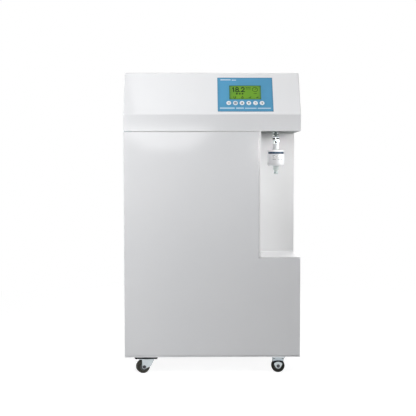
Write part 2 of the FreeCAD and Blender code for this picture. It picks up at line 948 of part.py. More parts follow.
def dispense_coupling():
    """A hexagon nut over a grooved collar, with a bore for the filter's spigot."""
    place = V(nozzle_x, nozzle_y, trunk_z)
    nut_z = coupling_length - coupling_nut_height
    groove_z = nut_z - coupling_groove
    rim = coupling_radius - coupling_bevel
    profile = [
        (0, 0), (rim, 0), (coupling_radius, coupling_bevel),
        (coupling_radius, groove_z - coupling_bevel), (rim, groove_z),
        (coupling_neck_radius, groove_z), (coupling_neck_radius, nut_z), (0, nut_z),
    ]
    collar = turned(profile, place, up)
    nut = nut_bar(coupling_radius, coupling_nut_sides, coupling_nut_height,
                  place + up * nut_z)
    bore = rod(coupling_bore_radius, spigot_length + seat_gap + cut_overrun,
               place + down * cut_overrun, up)
    return join([collar, nut]).cut(bore)


def capsule_levels():
    """Heights of the final filter's shoulders, from the top down."""
    hub_z = trunk_z - hub_length - seat_gap
    dome_z = hub_z - capsule_dome
    band_z = dome_z - capsule_band_height
    body_z = band_z - capsule_body
    foot_z = body_z - capsule_foot
    outlet_z = foot_z - outlet_length
    return hub_z, dome_z, band_z, body_z, foot_z, outlet_z


def filter_capsule():
    """The filter's moulded shell with its inlet hub, spigot and groove for the band."""
    hub_z, dome_z, band_z, body_z, foot_z, outlet_z = capsule_levels()
    top_z = trunk_z - seat_gap
    groove = capsule_radius - band_inset
    flange = capsule_radius - flange_inset
    profile = [
        (0, foot_z), (capsule_radius - capsule_foot, foot_z),
        (capsule_radius, body_z), (capsule_radius, band_z), (groove, band_z),
        (groove, dome_z), (flange, dome_z), (flange, dome_z + capsule_flange),
        (hub_radius + capsule_dome, hub_z), (hub_radius, hub_z), (hub_radius, top_z),
        (spigot_radius, top_z), (spigot_radius, top_z + spigot_length), (0, top_z + spigot_length),
    ]
    return turned(profile, V(nozzle_x, nozzle_y, 0), up)


def filter_band():
    hub_z, dome_z, band_z, body_z, foot_z, outlet_z = capsule_levels()
    inner = capsule_radius - band_inset + seat_gap / 2
    outer = capsule_radius - band_inset + band_thickness
    axis = V(nozzle_x, nozzle_y, band_z)
    ring = rod(outer, capsule_band_height - seat_gap, axis, up)
    bore = rod(inner, capsule_band_height + 2 * cut_overrun, axis + down * cut_overrun, up)
    return ring.cut(bore)


def filter_outlet():
    """A stepped spout with a bell mouth that takes a hose."""
    hub_z, dome_z, band_z, body_z, foot_z, outlet_z = capsule_levels()
    rib = outlet_length / 5
    root = outlet_radius - tip_radius / 5
    mouth_z = outlet_z - tip_length
    profile = [
        (0, foot_z), (outlet_radius, foot_z), (outlet_radius, foot_z - rib),
        (root, foot_z - rib), (root, foot_z - 2 * rib), (outlet_radius, foot_z - 2 * rib),
        (outlet_radius, foot_z - 3 * rib), (root, foot_z - 3 * rib), (root, outlet_z),
        (tip_radius, outlet_z), (tip_radius, mouth_z), (tip_bore_radius, mouth_z),
        (tip_bore_radius, mouth_z + tip_bore_depth), (0, mouth_z + tip_bore_depth),
    ]
    return turned(profile, V(nozzle_x, nozzle_y, 0), up)


def valve_base():
    return V(nozzle_x, nozzle_y, head_z + sheet + bushing_nut_height)


def dispense_valve():
    base = valve_base()
    half = valve_side / 2
    body = slab(base.x - half, base.x + half, base.y - half, base.y + half,
                base.z, base.z + valve_height)
    coil = rod(coil_radius, coil_height, base + up * valve_height, up)
    bore = rod(bushing_stub_radius + valve_bore_clearance,
               bushing_stub_length + valve_bore_clearance + cut_overrun,
               base + down * cut_overrun, up)
    inlet = base - rightward * half + up * (valve_height / 2)
    socket = rod(tube_radius + tube_clearance, tube_socket, inlet, rightward)
    return cut_away(join([body, coil]), [bore, socket])


# casters

def bolt_solid(spot):
    """A bolt up through a caster's plate and the pan, with a flat clinch nut on top."""
    plate_low = pan_z - caster_plate_thickness
    head = rod(bolt_head_radius, bolt_head_height,
               spot + up * (plate_low - bolt_head_height), up)
    shank = rod(bolt_radius, caster_plate_thickness + sheet, spot + up * plate_low, up)
    nut = rod(bolt_head_radius, bolt_nut_height, spot + up * (pan_z + sheet), up)
    return join([head, shank, nut])


def caster_bolts():
    return [bolt_solid(spot) for name, x, y, swivels in caster_places()
            for spot in bolt_places(x, y, swivels)]


def caster_plate(x, y, swivels):
    half_x, half_y = rigid_plate_width / 2, rigid_plate_length / 2
    if swivels:
        half_x, half_y = swivel_plate_length / 2, swivel_plate_width / 2
    plate = slab(x - half_x, x + half_x, y - half_y, y + half_y,
                 pan_z - caster_plate_thickness, pan_z)
    holes = [rod(bolt_hole_radius, caster_plate_thickness + 2 * cut_overrun,
                 spot + up * (pan_z - caster_plate_thickness - cut_overrun), up)
             for spot in bolt_places(x, y, swivels)]
    return cut_away(plate, holes)


def swivel_plate(x, y):
    """A bolted plate with the ball race's cup and the kingpin below it."""
    low = pan_z - caster_plate_thickness
    race_z = low - race_height
    pin_z = race_z - crown_thickness - 2 * crown_gap
    axis = V(x, y, 0)
    pieces = [
        caster_plate(x, y, True),
        rod(race_radius, race_height, axis + up * race_z, up),
        rod(kingpin_radius, race_z - pin_z, axis + up * pin_z, up),
        rod(kingpin_head_radius, kingpin_head_height,
            axis + up * (pin_z - kingpin_head_height), up),
    ]
    return join(pieces)


def tangent_point(corner, middle, radius, side):
    """Where a line from a corner touches a circle; side picks left or right."""
    reach = corner - middle
    swing = side * math.degrees(math.acos(radius / reach.Length))
    arm = reach * (radius / reach.Length)
    return middle + FreeCAD.Rotation(back, swing).multVec(arm)


def fork_leg(corners, foot, y):
    """A flat leg in the XZ plane, from its corners (x, z) down to a round foot."""
    points = [V(x, y, z) for x, z in corners]
    middle = foot + back * y
    outline = points + [tangent_point(points[-1], middle, leg_foot_radius, 1),
                        tangent_point(points[0], middle, leg_foot_radius, -1)]
    return join([prism(outline, leg_thickness, back),
                 rod(leg_foot_radius, leg_thickness, middle, back)])


def fork_legs(corners, foot):
    legs = [fork_leg(corners, foot, leg_spacing / 2),
            fork_leg(corners, foot, -leg_spacing / 2 - leg_thickness)]
    reach = leg_spacing + 2 * leg_thickness + 2 * cut_overrun
    hole = rod(axle_radius + leg_hole_clearance, reach, foot - back * (reach / 2), back)
    return [leg.cut(hole) for leg in legs]


def swivel_fork():
    """Crown and legs about the kingpin's axis, with the wheel trailing along +X."""
    crown_top = pan_z - caster_plate_thickness - race_height - crown_gap
    crown_low = crown_top - crown_thickness
    crown = rod(crown_radius, crown_thickness, up * crown_low, up)
    foot = V(trail, 0, wheel_radius)
    corners = [(-fork_knee, fork_knee_height), (-fork_lead, crown_top),
               (fork_tail, crown_top)]
    fork = join([crown] + fork_legs(corners, foot))
    bore = rod(kingpin_radius + axle_clearance, crown_thickness + 2 * cut_overrun,
               up * (crown_low - cut_overrun), up)
    return fork.cut(bore)


def rigid_fork(x, y):
    foot = V(0, 0, wheel_radius)
    top_z = pan_z - caster_plate_thickness / 2
    legs = fork_legs([(-rigid_leg_half, top_z), (rigid_leg_half, top_z)], foot)
    for leg in legs:
        leg.translate(V(x, y, 0))
    return join([caster_plate(x, y, False)] + legs)


def caster_wheel():
    """A tyre and its core, about the Y axis through the wheel's own middle."""
    half = wheel_width / 2
    tyre = rod(wheel_radius, wheel_width, back * (-half), back)
    tyre = tyre.makeFillet(wheel_round, [edge for edge in tyre.Edges if edge.Closed])
    bore = rod(rim_radius, wheel_width + 2 * cut_overrun, back * (-half - cut_overrun), back)
    inside = rim_radius - rim_thickness
    rim = rod(rim_radius, rim_width, back * (-rim_width / 2), back)
    hollow = rod(inside, rim_width + 2 * cut_overrun,
                 back * (-rim_width / 2 - cut_overrun), back)
    web = rod(inside, web_width, back * (-web_width / 2), back)
    hub = rod(wheel_hub_radius, hub_width, back * (-hub_width / 2), back)
    axle_bore = rod(axle_radius + axle_clearance, hub_width + 2 * cut_overrun,
                    back * (-hub_width / 2 - cut_overrun), back)
    return [tyre.cut(bore), join([rim.cut(hollow), web, hub]).cut(axle_bore)]


def caster_axle():
    """A bolt with its nut along Y through the fork's feet."""
    half = leg_spacing / 2 + leg_thickness
    shank = rod(axle_radius, 2 * half, back * (-half), back)
    ends = [rod(axle_head_radius, axle_head_height, back * y, back)
            for y in (-half - axle_head_height, half)]
    return join([shank] + ends)


def placed(shape, place, turn):
    """A copy turned about Z and then moved. A list of shapes is placed one by one."""
    if isinstance(shape, list):
        return [placed(piece, place, turn) for piece in shape]
    shape = shape.copy()
    shape.rotate(centre, up, turn)
    shape.translate(place)
    return shape


def save_casters():
    plates = []
    forks_fixed = []
    axles_fixed = []
    turns = {"front": front_swivel_angle, "rear": rear_swivel_angle}
    for name, x, y, swivels in caster_places():
        if not swivels:
            foot = V(x, y, wheel_radius)
            forks_fixed.append(rigid_fork(x, y))
            axles_fixed.append(placed(caster_axle(), foot, 0))
            save("rigid_wheel_" + name, placed(caster_wheel(), foot, 0))
            continue
        turn = turns[name]
        ride = V(trail * math.cos(math.radians(turn)), trail * math.sin(math.radians(turn)), 0)
        foot = V(x, y, wheel_radius) + ride
        plates.append(swivel_plate(x, y))
        save("swivel_fork_" + name, placed(swivel_fork(), V(x, y, 0), turn))
        save("swivel_axle_" + name, placed(caster_axle(), foot, turn))
        save("swivel_wheel_" + name, placed(caster_wheel(), foot, turn))
    save("swivel_plates", plates)
    save("rigid_forks", forks_fixed)
    save("rigid_axles", axles_fixed)
    save("caster_bolts", caster_bolts())


# cartridges behind the door

def bowl_places():
    """Axis of each pre-filter bowl, at the manifold's underside."""
    first = rack_start_x + bowl_collar_radius
    y = plate_y - bowl_standoff
    z = head_z - bowl_top_drop
    return [V(first + n * bowl_pitch, y, z) for n in range(bowl_count)]


def manifold_port_z():
    return bowl_places()[0].z + spine_height / 2


def prefilter_manifold():
    places = bowl_places()
    x0 = places[0].x - bowl_collar_radius
    z = places[0].z
    spine = slab(x0, spine_end_x, plate_y - spine_depth, plate_y, z, z + spine_height)
    caps = [rod(bowl_collar_radius, manifold_cap_height, spot, up) for spot in places]
    links = [slab(spot.x - spine_depth, spot.x + spine_depth, spot.y, plate_y - spine_depth,
                  z, z + manifold_cap_height) for spot in places]
    feed = rod(tube_radius + tube_clearance, tube_socket + cut_overrun,
               V(places[0].x, plate_y - tube_socket, manifold_port_z()), back)
    outlet = rod(tube_radius + tube_clearance, tube_socket + cut_overrun,
                 V(drop_x, drop_y(), z - cut_overrun), up)
    return cut_away(join([spine] + caps + links), [feed, outlet])


def prefilter_bowl(spot):
    """A hollow bowl with a ribbed collar, hung from the manifold."""
    low = -bowl_length
    inner = bowl_radius - bowl_wall
    profile = [
        (0, low), (bowl_radius / 2, low), (bowl_radius, low + bowl_radius / 3),
        (bowl_radius, -bowl_collar_height), (bowl_collar_radius, -bowl_collar_height),
        (bowl_collar_radius, 0), (inner, 0), (inner, low + bowl_radius / 3),
        (bowl_radius / 2 - bowl_wall, low + bowl_wall), (0, low + bowl_wall),
    ]
    return turned(profile, spot, up)


def column_places():
    """Axis of each polishing column, at its top."""
    last_x = bay_x - sheet - column_gap - column_cap_radius
    pitch = 2 * column_cap_radius + column_gap
    y = plate_y - column_standoff
    z = head_z - column_top_drop
    return [V(last_x - pitch, y, z), V(last_x, y, z)]


def polishing_column(spot):
    """A column with a wider cap and a port at each end."""
    low = -column_length
    port_top = column_port_length
    port_low = low - column_port_length
    profile = [
        (0, port_low), (column_port_radius, port_low), (column_port_radius, low),
        (column_cap_radius, low), (column_cap_radius, low + column_cap_height),
        (column_radius, low + column_cap_height), (column_radius, -column_cap_height),
        (column_cap_radius, -column_cap_height), (column_cap_radius, 0),
        (column_port_radius, 0), (column_port_radius, port_top), (0, port_top),
    ]
    body = turned(profile, spot, up)
    hole = tube_radius + tube_clearance
    sockets = [rod(hole, tube_socket + cut_overrun, spot + up * (port_top - tube_socket), up),
               rod(hole, tube_socket + cut_overrun, spot + up * (port_low - cut_overrun), up)]
    return cut_away(body, sockets)


def vessel_middle():
    return V(vessel_start_x + vessel_length / 2, plate_y - vessel_standoff,
             bay_floor_z - vessel_drop)


def vessel_ports():
    """Inlet below and permeate outlet above, on the vessel's right cap."""
    x = vessel_middle().x + vessel_length / 2 - vessel_cap_length / 2
    middle = vessel_middle()
    return V(x, middle.y, middle.z - vessel_cap_radius), V(x, middle.y, middle.z + vessel_cap_radius)


def ro_vessel():
    middle = vessel_middle()
    start = middle - rightward * (vessel_length / 2)
    far = middle + rightward * (vessel_length / 2 - vessel_cap_length)
    body = rod(vessel_radius, vessel_length, start, rightward)
    caps = [rod(vessel_cap_radius, vessel_cap_length, end, rightward) for end in (start, far)]
    hole = tube_radius + tube_clearance
    inlet, outlet = vessel_ports()
    tools = [rod(hole, tube_socket + cut_overrun, inlet + down * cut_overrun, up),
             rod(hole, tube_socket + cut_overrun, outlet + up * cut_overrun, down)]
    bosses = []
    for spot in fitting_places()[1:]:
        mouth = V(spot.x, middle.y + vessel_cap_radius + column_port_length, middle.z)
        bosses.append(rod(column_port_radius, vessel_cap_radius / 2 + column_port_length,
                          mouth, forward))
        tools.append(rod(hole, tube_socket + cut_overrun, mouth + back * cut_overrun, forward))
    return cut_away(join([body] + caps + bosses), tools)


def pump_axis():
    """Left end of the motor's axis."""
    y = plate_y - pump_rear_gap - pump_head_side / 2
    return V(left_x + 2 * sheet + pump_side_gap, y, pan_z + sheet + pump_foot_height + motor_radius)


def pump_ports():
    """Suction and pressure ports on top of the pump's head."""
    axis = pump_axis()
    quarter = pump_head_length / 4
    middle = axis.x + motor_length + pump_head_length / 2
    z = axis.z + pump_head_side / 2
    return V(middle + quarter, axis.y, z), V(middle - quarter, axis.y, z)


def pump_motor():
    axis = pump_axis()
    body = rod(motor_radius, motor_length, axis, rightward)
    foot_x = axis.x + motor_length / 4
    foot = slab(foot_x, axis.x + 3 * motor_length / 4, axis.y - pump_foot_width / 2,
                axis.y + pump_foot_width / 2, pan_z + sheet, axis.z)
    return join([body, foot])


def pump_head():
    axis = pump_axis()
    half = pump_head_side / 2
    x0 = axis.x + motor_length
    block = slab(x0, x0 + pump_head_length, axis.y - half, axis.y + half,
                 axis.z - half, axis.z + half)
    sockets = [rod(tube_radius + tube_clearance, tube_socket + cut_overrun,
                   port + up * cut_overrun, down) for port in pump_ports()]
    return cut_away(block, sockets)


def reactor_base():
    return V(right_x - reactor_inset_x, plate_y - reactor_standoff, pan_z + sheet + reactor_lift)


def reactor_ports():
    """Mouths of the reactor's upper inlet and lower outlet, both on its left."""
    reach = rightward * (reactor_radius + reactor_port_length)
    base = reactor_base()
    top = base + up * (reactor_length - reactor_port_inset)
    return top - reach, base + up * reactor_port_inset - reach


def uv_reactor():
    """A steel tube with end caps, two side ports and a foot on the pan."""
    base = reactor_base()
    inner = reactor_radius - reactor_wall
    cap = reactor_cap_height
    profile = [
        (0, 0), (reactor_cap_radius, 0), (reactor_cap_radius, cap), (reactor_radius, cap),
        (reactor_radius, reactor_length - cap), (reactor_cap_radius, reactor_length - cap),
        (reactor_cap_radius, reactor_length), (0, reactor_length),
        (0, reactor_length - cap), (inner, reactor_length - cap), (inner, cap), (0, cap),
    ]
    body = turned(profile, base, up)
    foot = rod(reactor_radius, reactor_lift, base + down * reactor_lift, up)
    spouts = []
    tools = []
    for mouth in reactor_ports():
        length = reactor_port_length + reactor_wall
        spouts.append(rod(reactor_port_radius, length, mouth, rightward))
        tools.append(rod(tube_radius + tube_clearance, tube_socket + cut_overrun,
                         mouth - rightward * cut_overrun, rightward))
    return cut_away(join([body, foot] + spouts), tools)


def clip(spot, radius, axis):
    """A ring clip round a part's axis, with a foot that reaches back to the plate."""
    inner = radius + clip_clearance
    outer = inner + clip_wall
    start = spot - axis * (clip_height / 2)
    ring = rod(outer, clip_height, start, axis)
    side = axis.cross(back)
    half = outer * clip_foot_share
    corner = start - side * half
    foot = prism([corner, corner + side * (2 * half),
                  corner + side * (2 * half) + axis * clip_height,
                  corner + axis * clip_height], plate_y - spot.y, back)
    mouth = rod(inner, clip_height + 2 * cut_overrun, start - axis * cut_overrun, axis)
    return join([ring, foot]).cut(mouth)


def holding_clips():
    clips = []
    for spot in column_places():
        for drop in (clip_inset, column_length - clip_inset):
            clips.append(clip(spot + down * drop, column_radius, up))
    middle = vessel_middle()
    for shift in (-vessel_length / 4, vessel_length / 4):
        clips.append(clip(middle + rightward * shift, vessel_radius, rightward))
    half = reactor_length / 2
    clips.append(clip(reactor_base() + up * half, reactor_radius, up))
    return clips


def tank_base():
    return V(column_places()[0].x + tank_column_gap, (plate_y + rear_y) / 2, pan_z + sheet)


def pressure_tank():
    """A hollow domed tank on a ring foot, its neck bored from the top and the left."""
    low = tank_foot_height
    high = low + tank_height
    half = tank_dome / 2
    wall = tank_wall
    wide = 3 * tank_radius / 4
    outer = [
        (tank_foot_radius, low), (wide, low + wall), (tank_radius, low + tank_dome),
        (tank_radius, high - tank_dome), (wide, high - half), (tank_neck_radius, high),
        (tank_neck_radius, high + tank_neck_height), (0, high + tank_neck_height),
    ]
    inner = [
        (0, high - 2 * wall), (wide - wall, high - half - wall),
        (tank_radius - wall, high - tank_dome), (tank_radius - wall, low + tank_dome),
        (wide - wall, low + 2 * wall), (0, low + 2 * wall),
    ]
    foot = [(0, low), (0, 0), (tank_foot_radius, 0)]
    shell = turned(foot[1:] + outer, tank_base(), up)
    hollow = turned(inner, tank_base(), up)
    hole = tube_radius + tube_clearance
    outlet = rod(hole, tube_socket + cut_overrun, tank_mouth() + up * cut_overrun, down)
    inlet = rod(hole, tube_socket + cut_overrun,
                tank_side_mouth() - rightward * cut_overrun, rightward)
    return cut_away(shell, [hollow, outlet, inlet])


def tank_mouth():
    return tank_base() + up * (tank_foot_height + tank_height + tank_neck_height)


def tank_side_mouth():
    return tank_mouth() + down * (tank_neck_height / 2) - rightward * tank_neck_radius


# water tubes

def drop_y():
    return plate_y - spine_depth / 2


def riser_place():
    """Where the dispensing tube rises between the columns, as a point at floor level."""
    first, second = column_places()
    return V((first.x + second.x) / 2, plate_y - 2 * tube_radius, 0)


def plate_tube_places():
    """Where tubes pass through the equipment plate."""
    inlet, outlet = vessel_ports()
    spots = [(spot.x, spot.z) for spot in fitting_places()]
    spots += [(outlet.x, tank_line_z()), (column_places()[0].x, tank_line_z())]
    return [V(x, plate_y, z) for x, z in spots]


def tank_line_z():
    """Height of the two tubes that cross the plate between the tank and the rack."""
    return tank_mouth().z + 4 * tube_socket


def raw_water_tubes():
    """Feed, manifold to pump, pump to vessel, and the vessel's drain, each a tube."""
    fit = tube_clearance
    feed, drain, product = fitting_places()
    rear_end = rear_y - fitting_inner_length + tube_socket - fit
    lines = [[V(feed.x, plate_y - tube_socket + fit, feed.z), V(feed.x, rear_end, feed.z)]]
    vessel_back = vessel_middle().y + vessel_cap_radius + column_port_length
    lines.append([V(drain.x, vessel_back - tube_socket + fit, drain.z),
                  V(drain.x, rear_end, drain.z)])
    suction, pressure = pump_ports()
    inlet, outlet = vessel_ports()
    top_z = bowl_places()[0].z + tube_socket - fit
    pass_z = bay_floor_z
    turn_z = suction.z + 3 * tube_socket
    lines.append([V(drop_x, drop_y(), top_z), V(drop_x, drop_y(), pass_z),
                  V(drop_x, suction.y, turn_z + 5 * tube_socket),
                  V(suction.x, suction.y, turn_z),
                  V(suction.x, suction.y, suction.z - tube_socket + fit)])
    rise = (inlet.z - pressure.z) / 3
    lines.append([V(pressure.x, pressure.y, pressure.z - tube_socket + fit),
                  V(pressure.x, pressure.y, pressure.z + rise),
                  V(inlet.x, inlet.y, inlet.z - rise),
                  V(inlet.x, inlet.y, inlet.z + tube_socket - fit)])
    return [tube(line, tube_radius) for line in lines]


def pure_water_tubes():
    """From the vessel through tank, columns and reactor to the valve, each a tube."""
    fit = tube_clearance
    seat = tube_socket - fit
    product = fitting_places()[2]
    inlet, outlet = vessel_ports()
    first, second = column_places()
    port = column_port_length
    low_z = first.z - column_length - port
    vessel_back = vessel_middle().y + vessel_cap_radius + port
    rear_end = rear_y - fitting_inner_length + seat
    lines = [[V(product.x, vessel_back - seat, product.z), V(product.x, rear_end, product.z)]]
    line_z = tank_line_z()
    tank_side = tank_side_mouth()
    lines.append([V(outlet.x, outlet.y, outlet.z - seat), V(outlet.x, outlet.y, line_z),
                  V(outlet.x, tank_side.y, line_z), V(outlet.x, tank_side.y, tank_side.z),
                  tank_side + rightward * seat])
    tank_top = tank_mouth()
    drop_front_y = plate_y - 2 * tube_radius
    dip_z = low_z - 5 * tube_socket
    lines.append([tank_top + down * seat, V(tank_top.x, tank_top.y, line_z),
                  V(first.x, tank_top.y, line_z), V(first.x, drop_front_y, line_z),
                  V(first.x, drop_front_y, dip_z), V(first.x, first.y, dip_z),
                  V(first.x, first.y, low_z + seat)])
    loop_z = first.z + port + column_cap_radius
    lines.append([V(first.x, first.y, first.z + port - seat), V(first.x, first.y, loop_z),
                  V(second.x, second.y, loop_z), V(second.x, second.y, first.z + port - seat)])
    mouth_in, mouth_out = reactor_ports()
    lines.append([V(second.x, second.y, low_z + seat), V(second.x, mouth_in.y, mouth_in.z),
                  mouth_in + rightward * seat])
    riser = riser_place()
    valve = valve_base() + up * (valve_height / 2) - rightward * (valve_side / 2)
    turn_z = head_z + supply_height + pan_flange
    lines.append([mouth_out + rightward * seat, V(riser.x, mouth_out.y, mouth_out.z),
                  V(riser.x, riser.y, mouth_out.z + column_cap_radius),
                  V(riser.x, riser.y, turn_z), V(riser.x, valve.y, turn_z),
                  V(riser.x + port, valve.y, valve.z), valve + rightward * seat])
    return [tube(line, tube_radius) for line in lines]


def save_all():
    os.makedirs("parts", exist_ok=True)
    save("base_pan", base_pan())
    save("left_side_panel", side_panel(left_x, 1))
    save("right_side_panel", side_panel(right_x, -1))
    save("rear_panel", rear_panel())
    save("rear_panel_screws", rear_screws())
    save("bay_side_wall", bay_side_wall())
    save("bay_back_wall", bay_back_wall())
    save("bay_shelf", bay_shelf())
    save("equipment_plate", equipment_plate())
    save("head_shell", head_shell())
    save("head_floor", head_floor())
    save("panel_overlay", panel_overlay())
    save("lcd_display", lcd_display())
    save("control_board", control_board())
    for number, spot in enumerate(key_places(), 1):
        save("control_key_" + str(number), control_key(spot))
    save("power_supply", power_supply())
    save("door_panel", door_panel())
    save("door_sleeves", door_sleeves())
    save("pivot_brackets", pivot_brackets())
    save("door_magnets", door_magnets())
    save("mains_inlet", mains_inlet())
    save("rocker_frame", rocker_frame())
    save("rocker", rocker())
    save("rear_fittings", rear_fittings())
    save("dispense_bushing", dispense_bushing())
    save("dispense_coupling", dispense_coupling())
    save("filter_capsule", filter_capsule())
    save("filter_band", filter_band())
    save("filter_outlet", filter_outlet())
    save("dispense_valve", dispense_valve())
    save_casters()
    save("prefilter_manifold", prefilter_manifold())
    for number, spot in enumerate(bowl_places(), 1):
        save("prefilter_bowl_" + str(number), prefilter_bowl(spot))
    save("polishing_columns", [polishing_column(spot) for spot in column_places()])
    save("ro_vessel", ro_vessel())
    save("pump_motor", pump_motor())
    save("pump_head", pump_head())
    save("uv_reactor", uv_reactor())
    save("holding_clips", holding_clips())
    save("pressure_tank", pressure_tank())
    save("raw_water_tubes", raw_water_tubes())
    save("pure_water_tubes", pure_water_tubes())


save_all()
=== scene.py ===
import math

import bmesh
import bpy
import numpy as np
from mathutils import Matrix, Vector


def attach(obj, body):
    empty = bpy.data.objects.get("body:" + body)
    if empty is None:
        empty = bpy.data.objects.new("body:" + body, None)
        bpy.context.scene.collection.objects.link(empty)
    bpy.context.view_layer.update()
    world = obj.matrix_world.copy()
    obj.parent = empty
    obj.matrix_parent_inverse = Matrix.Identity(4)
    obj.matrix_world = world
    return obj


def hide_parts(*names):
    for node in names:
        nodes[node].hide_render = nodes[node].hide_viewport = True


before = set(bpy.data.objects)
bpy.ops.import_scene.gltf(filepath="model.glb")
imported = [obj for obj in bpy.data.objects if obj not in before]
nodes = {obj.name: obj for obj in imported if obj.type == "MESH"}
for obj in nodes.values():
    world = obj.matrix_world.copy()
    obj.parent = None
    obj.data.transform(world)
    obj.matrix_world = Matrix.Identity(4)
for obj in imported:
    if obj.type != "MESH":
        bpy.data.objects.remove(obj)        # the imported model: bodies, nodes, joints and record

# Floor-standing ultrapure water system. Piece dictionaries are in millimetres and degrees,
# in the CAD's frame: X right, Y back, Z up, the door towards -Y. Meshes are in metres.
class Look(dict):
    # a piece's dictionary, whose values can be read as look.radius
    __getattr__ = dict.__getitem__


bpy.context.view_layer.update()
mm = 0.001
tau = 2 * math.pi
scene = bpy.context.scene
scene.view_settings.view_transform = "Standard"
print("frame loaded:", len(nodes), "nodes")


# ---- camera ----

shot = Look(place=(-0.0603, -3.1526, 0.7167), lens=73.12, yaw=-0.910, tilt=2.915,
        roll=-0.042)  # metres, millimetres and degrees


def addCamera(look):
    # ahead = (-sin yaw cos tilt, cos yaw cos tilt, -sin tilt), right = (cos yaw, sin yaw, 0),
    # up = right x ahead, and both are then turned about ahead by the roll
    yaw, tilt, roll = np.radians([look.yaw, look.tilt, look.roll])
    ahead = np.array([-math.sin(yaw) * math.cos(tilt), math.cos(yaw) * math.cos(tilt),
                      -math.sin(tilt)])
    level = np.array([math.cos(yaw), math.sin(yaw), 0.0])
    rise = np.cross(level, ahead)
    right = level * math.cos(roll) + rise * math.sin(roll)
    up = rise * math.cos(roll) - level * math.sin(roll)
    camera = bpy.data.objects.new("camera", bpy.data.cameras.new("camera"))
    camera.data.lens = look.lens
    rows = np.column_stack([right, up, -ahead, look.place]).tolist()
    camera.matrix_world = Matrix(rows + [[0, 0, 0, 1]])
    scene.collection.objects.link(camera)
    scene.camera = camera


addCamera(shot)
print("camera set")


# ---- shader maths ----

def operator(operation):
    # an operator's method and its reflected form, each adding one Math node
    def plain(self, other):
        return self.maths(operation, self, other)

    def reflected(self, other):
        return self.maths(operation, other, self)
    return plain, reflected


class Signal:
    # wraps one output socket; an expression on signals and numbers adds its Math nodes
    def __init__(self, finish, socket):
        self.finish = finish
        self.socket = socket

    def maths(self, operation, first, second=None):
        values = {0: first} if second is None else {0: first, 1: second}
        return self.finish.node("Math", {"operation": operation}, values)

    __add__, __radd__ = operator("ADD")
    __sub__, __rsub__ = operator("SUBTRACT")
    __mul__, __rmul__ = operator("MULTIPLY")
    __truediv__, __rtruediv__ = operator("DIVIDE")
    __pow__ = operator("POWER")[0]
    __lt__ = operator("LESS_THAN")[0]

    def clipped(self):
        return self.maths("MINIMUM", self.maths("MAXIMUM", self, 0.0), 1.0)

    def size(self):
        return self.maths("ABSOLUTE", self)

    def step(self, low, high):
        # 0 below low, 1 above high, straight in between
        return ((self - low) / (high - low)).clipped()


class Finish:
    # one procedural material, or the world, and the few kinds of node it is made of
    def __init__(self, name, owner=None):
        self.owner = owner or bpy.data.materials.new(name)
        self.owner.use_nodes = True
        self.tree = self.owner.node_tree
        self.tree.nodes.clear()

    def node(self, kind, settings=None, sockets=None, out=0):
        # any node: its settings first, a ramp's stops among them, then its sockets
        item = self.tree.nodes.new("ShaderNode" + kind)
        for key, value in (settings or {}).items():
            if key == "stops":
                ramp = item.color_ramp.elements
                ramp[0].position, ramp[0].color = value[0][0], (*value[0][1], 1)
                ramp[1].position, ramp[1].color = value[-1][0], (*value[-1][1], 1)
                for position, colour in value[1:-1]:
                    ramp.new(position).color = (*colour, 1)
            else:
                setattr(item, key, value)
        for key, value in (sockets or {}).items():
            self.feed(item.inputs[key], value)
        return Signal(self, item.outputs[out])

    def feed(self, target, value):
        if isinstance(value, Signal):
            self.tree.links.new(value.socket, target)
        elif isinstance(value, tuple) and target.type == "RGBA":
            target.default_value = (*value, 1)
        else:
            target.default_value = value

    def coords(self, scale=(1, 1, 1), turn=(0, 0, 0)):
        # Object coordinates, stretched and turned
        place = self.node("TexCoord", out="Object")
        angles = tuple(math.radians(part) for part in turn)
        return self.node("Mapping", {}, {"Vector": place, "Rotation": angles, "Scale": scale})

    def axis(self, name):
        place = self.node("TexCoord", out="Object")
        return self.node("SeparateXYZ", {}, {0: place}, name)

    def noise(self, scale, detail=2.0, rough=0.5, stretch=(1, 1, 1)):
        return self.node("TexNoise", {}, {"Vector": self.coords(stretch), "Scale": scale,
                                          "Detail": detail, "Roughness": rough})

    def mix(self, factor, first, second):
        return self.node("Mix", {"data_type": "RGBA"}, {0: factor, 6: first, 7: second}, 2)

    def bump(self, height, microns):
        return self.node("Bump", {}, {"Height": height, "Distance": microns * 1e-6,
                                      "Strength": 1.0})

    def cover(self, sockets):
        # the surface shader with these sockets, joined to the output
        shader = self.node("BsdfPrincipled", {}, sockets)
        self.finishWith(shader)
        return self

    def finishWith(self, shader, kind="OutputMaterial"):
        output = self.tree.nodes.new("ShaderNode" + kind)
        self.tree.links.new(shader.socket, output.inputs["Surface"])


# ---- light, world and floor ----

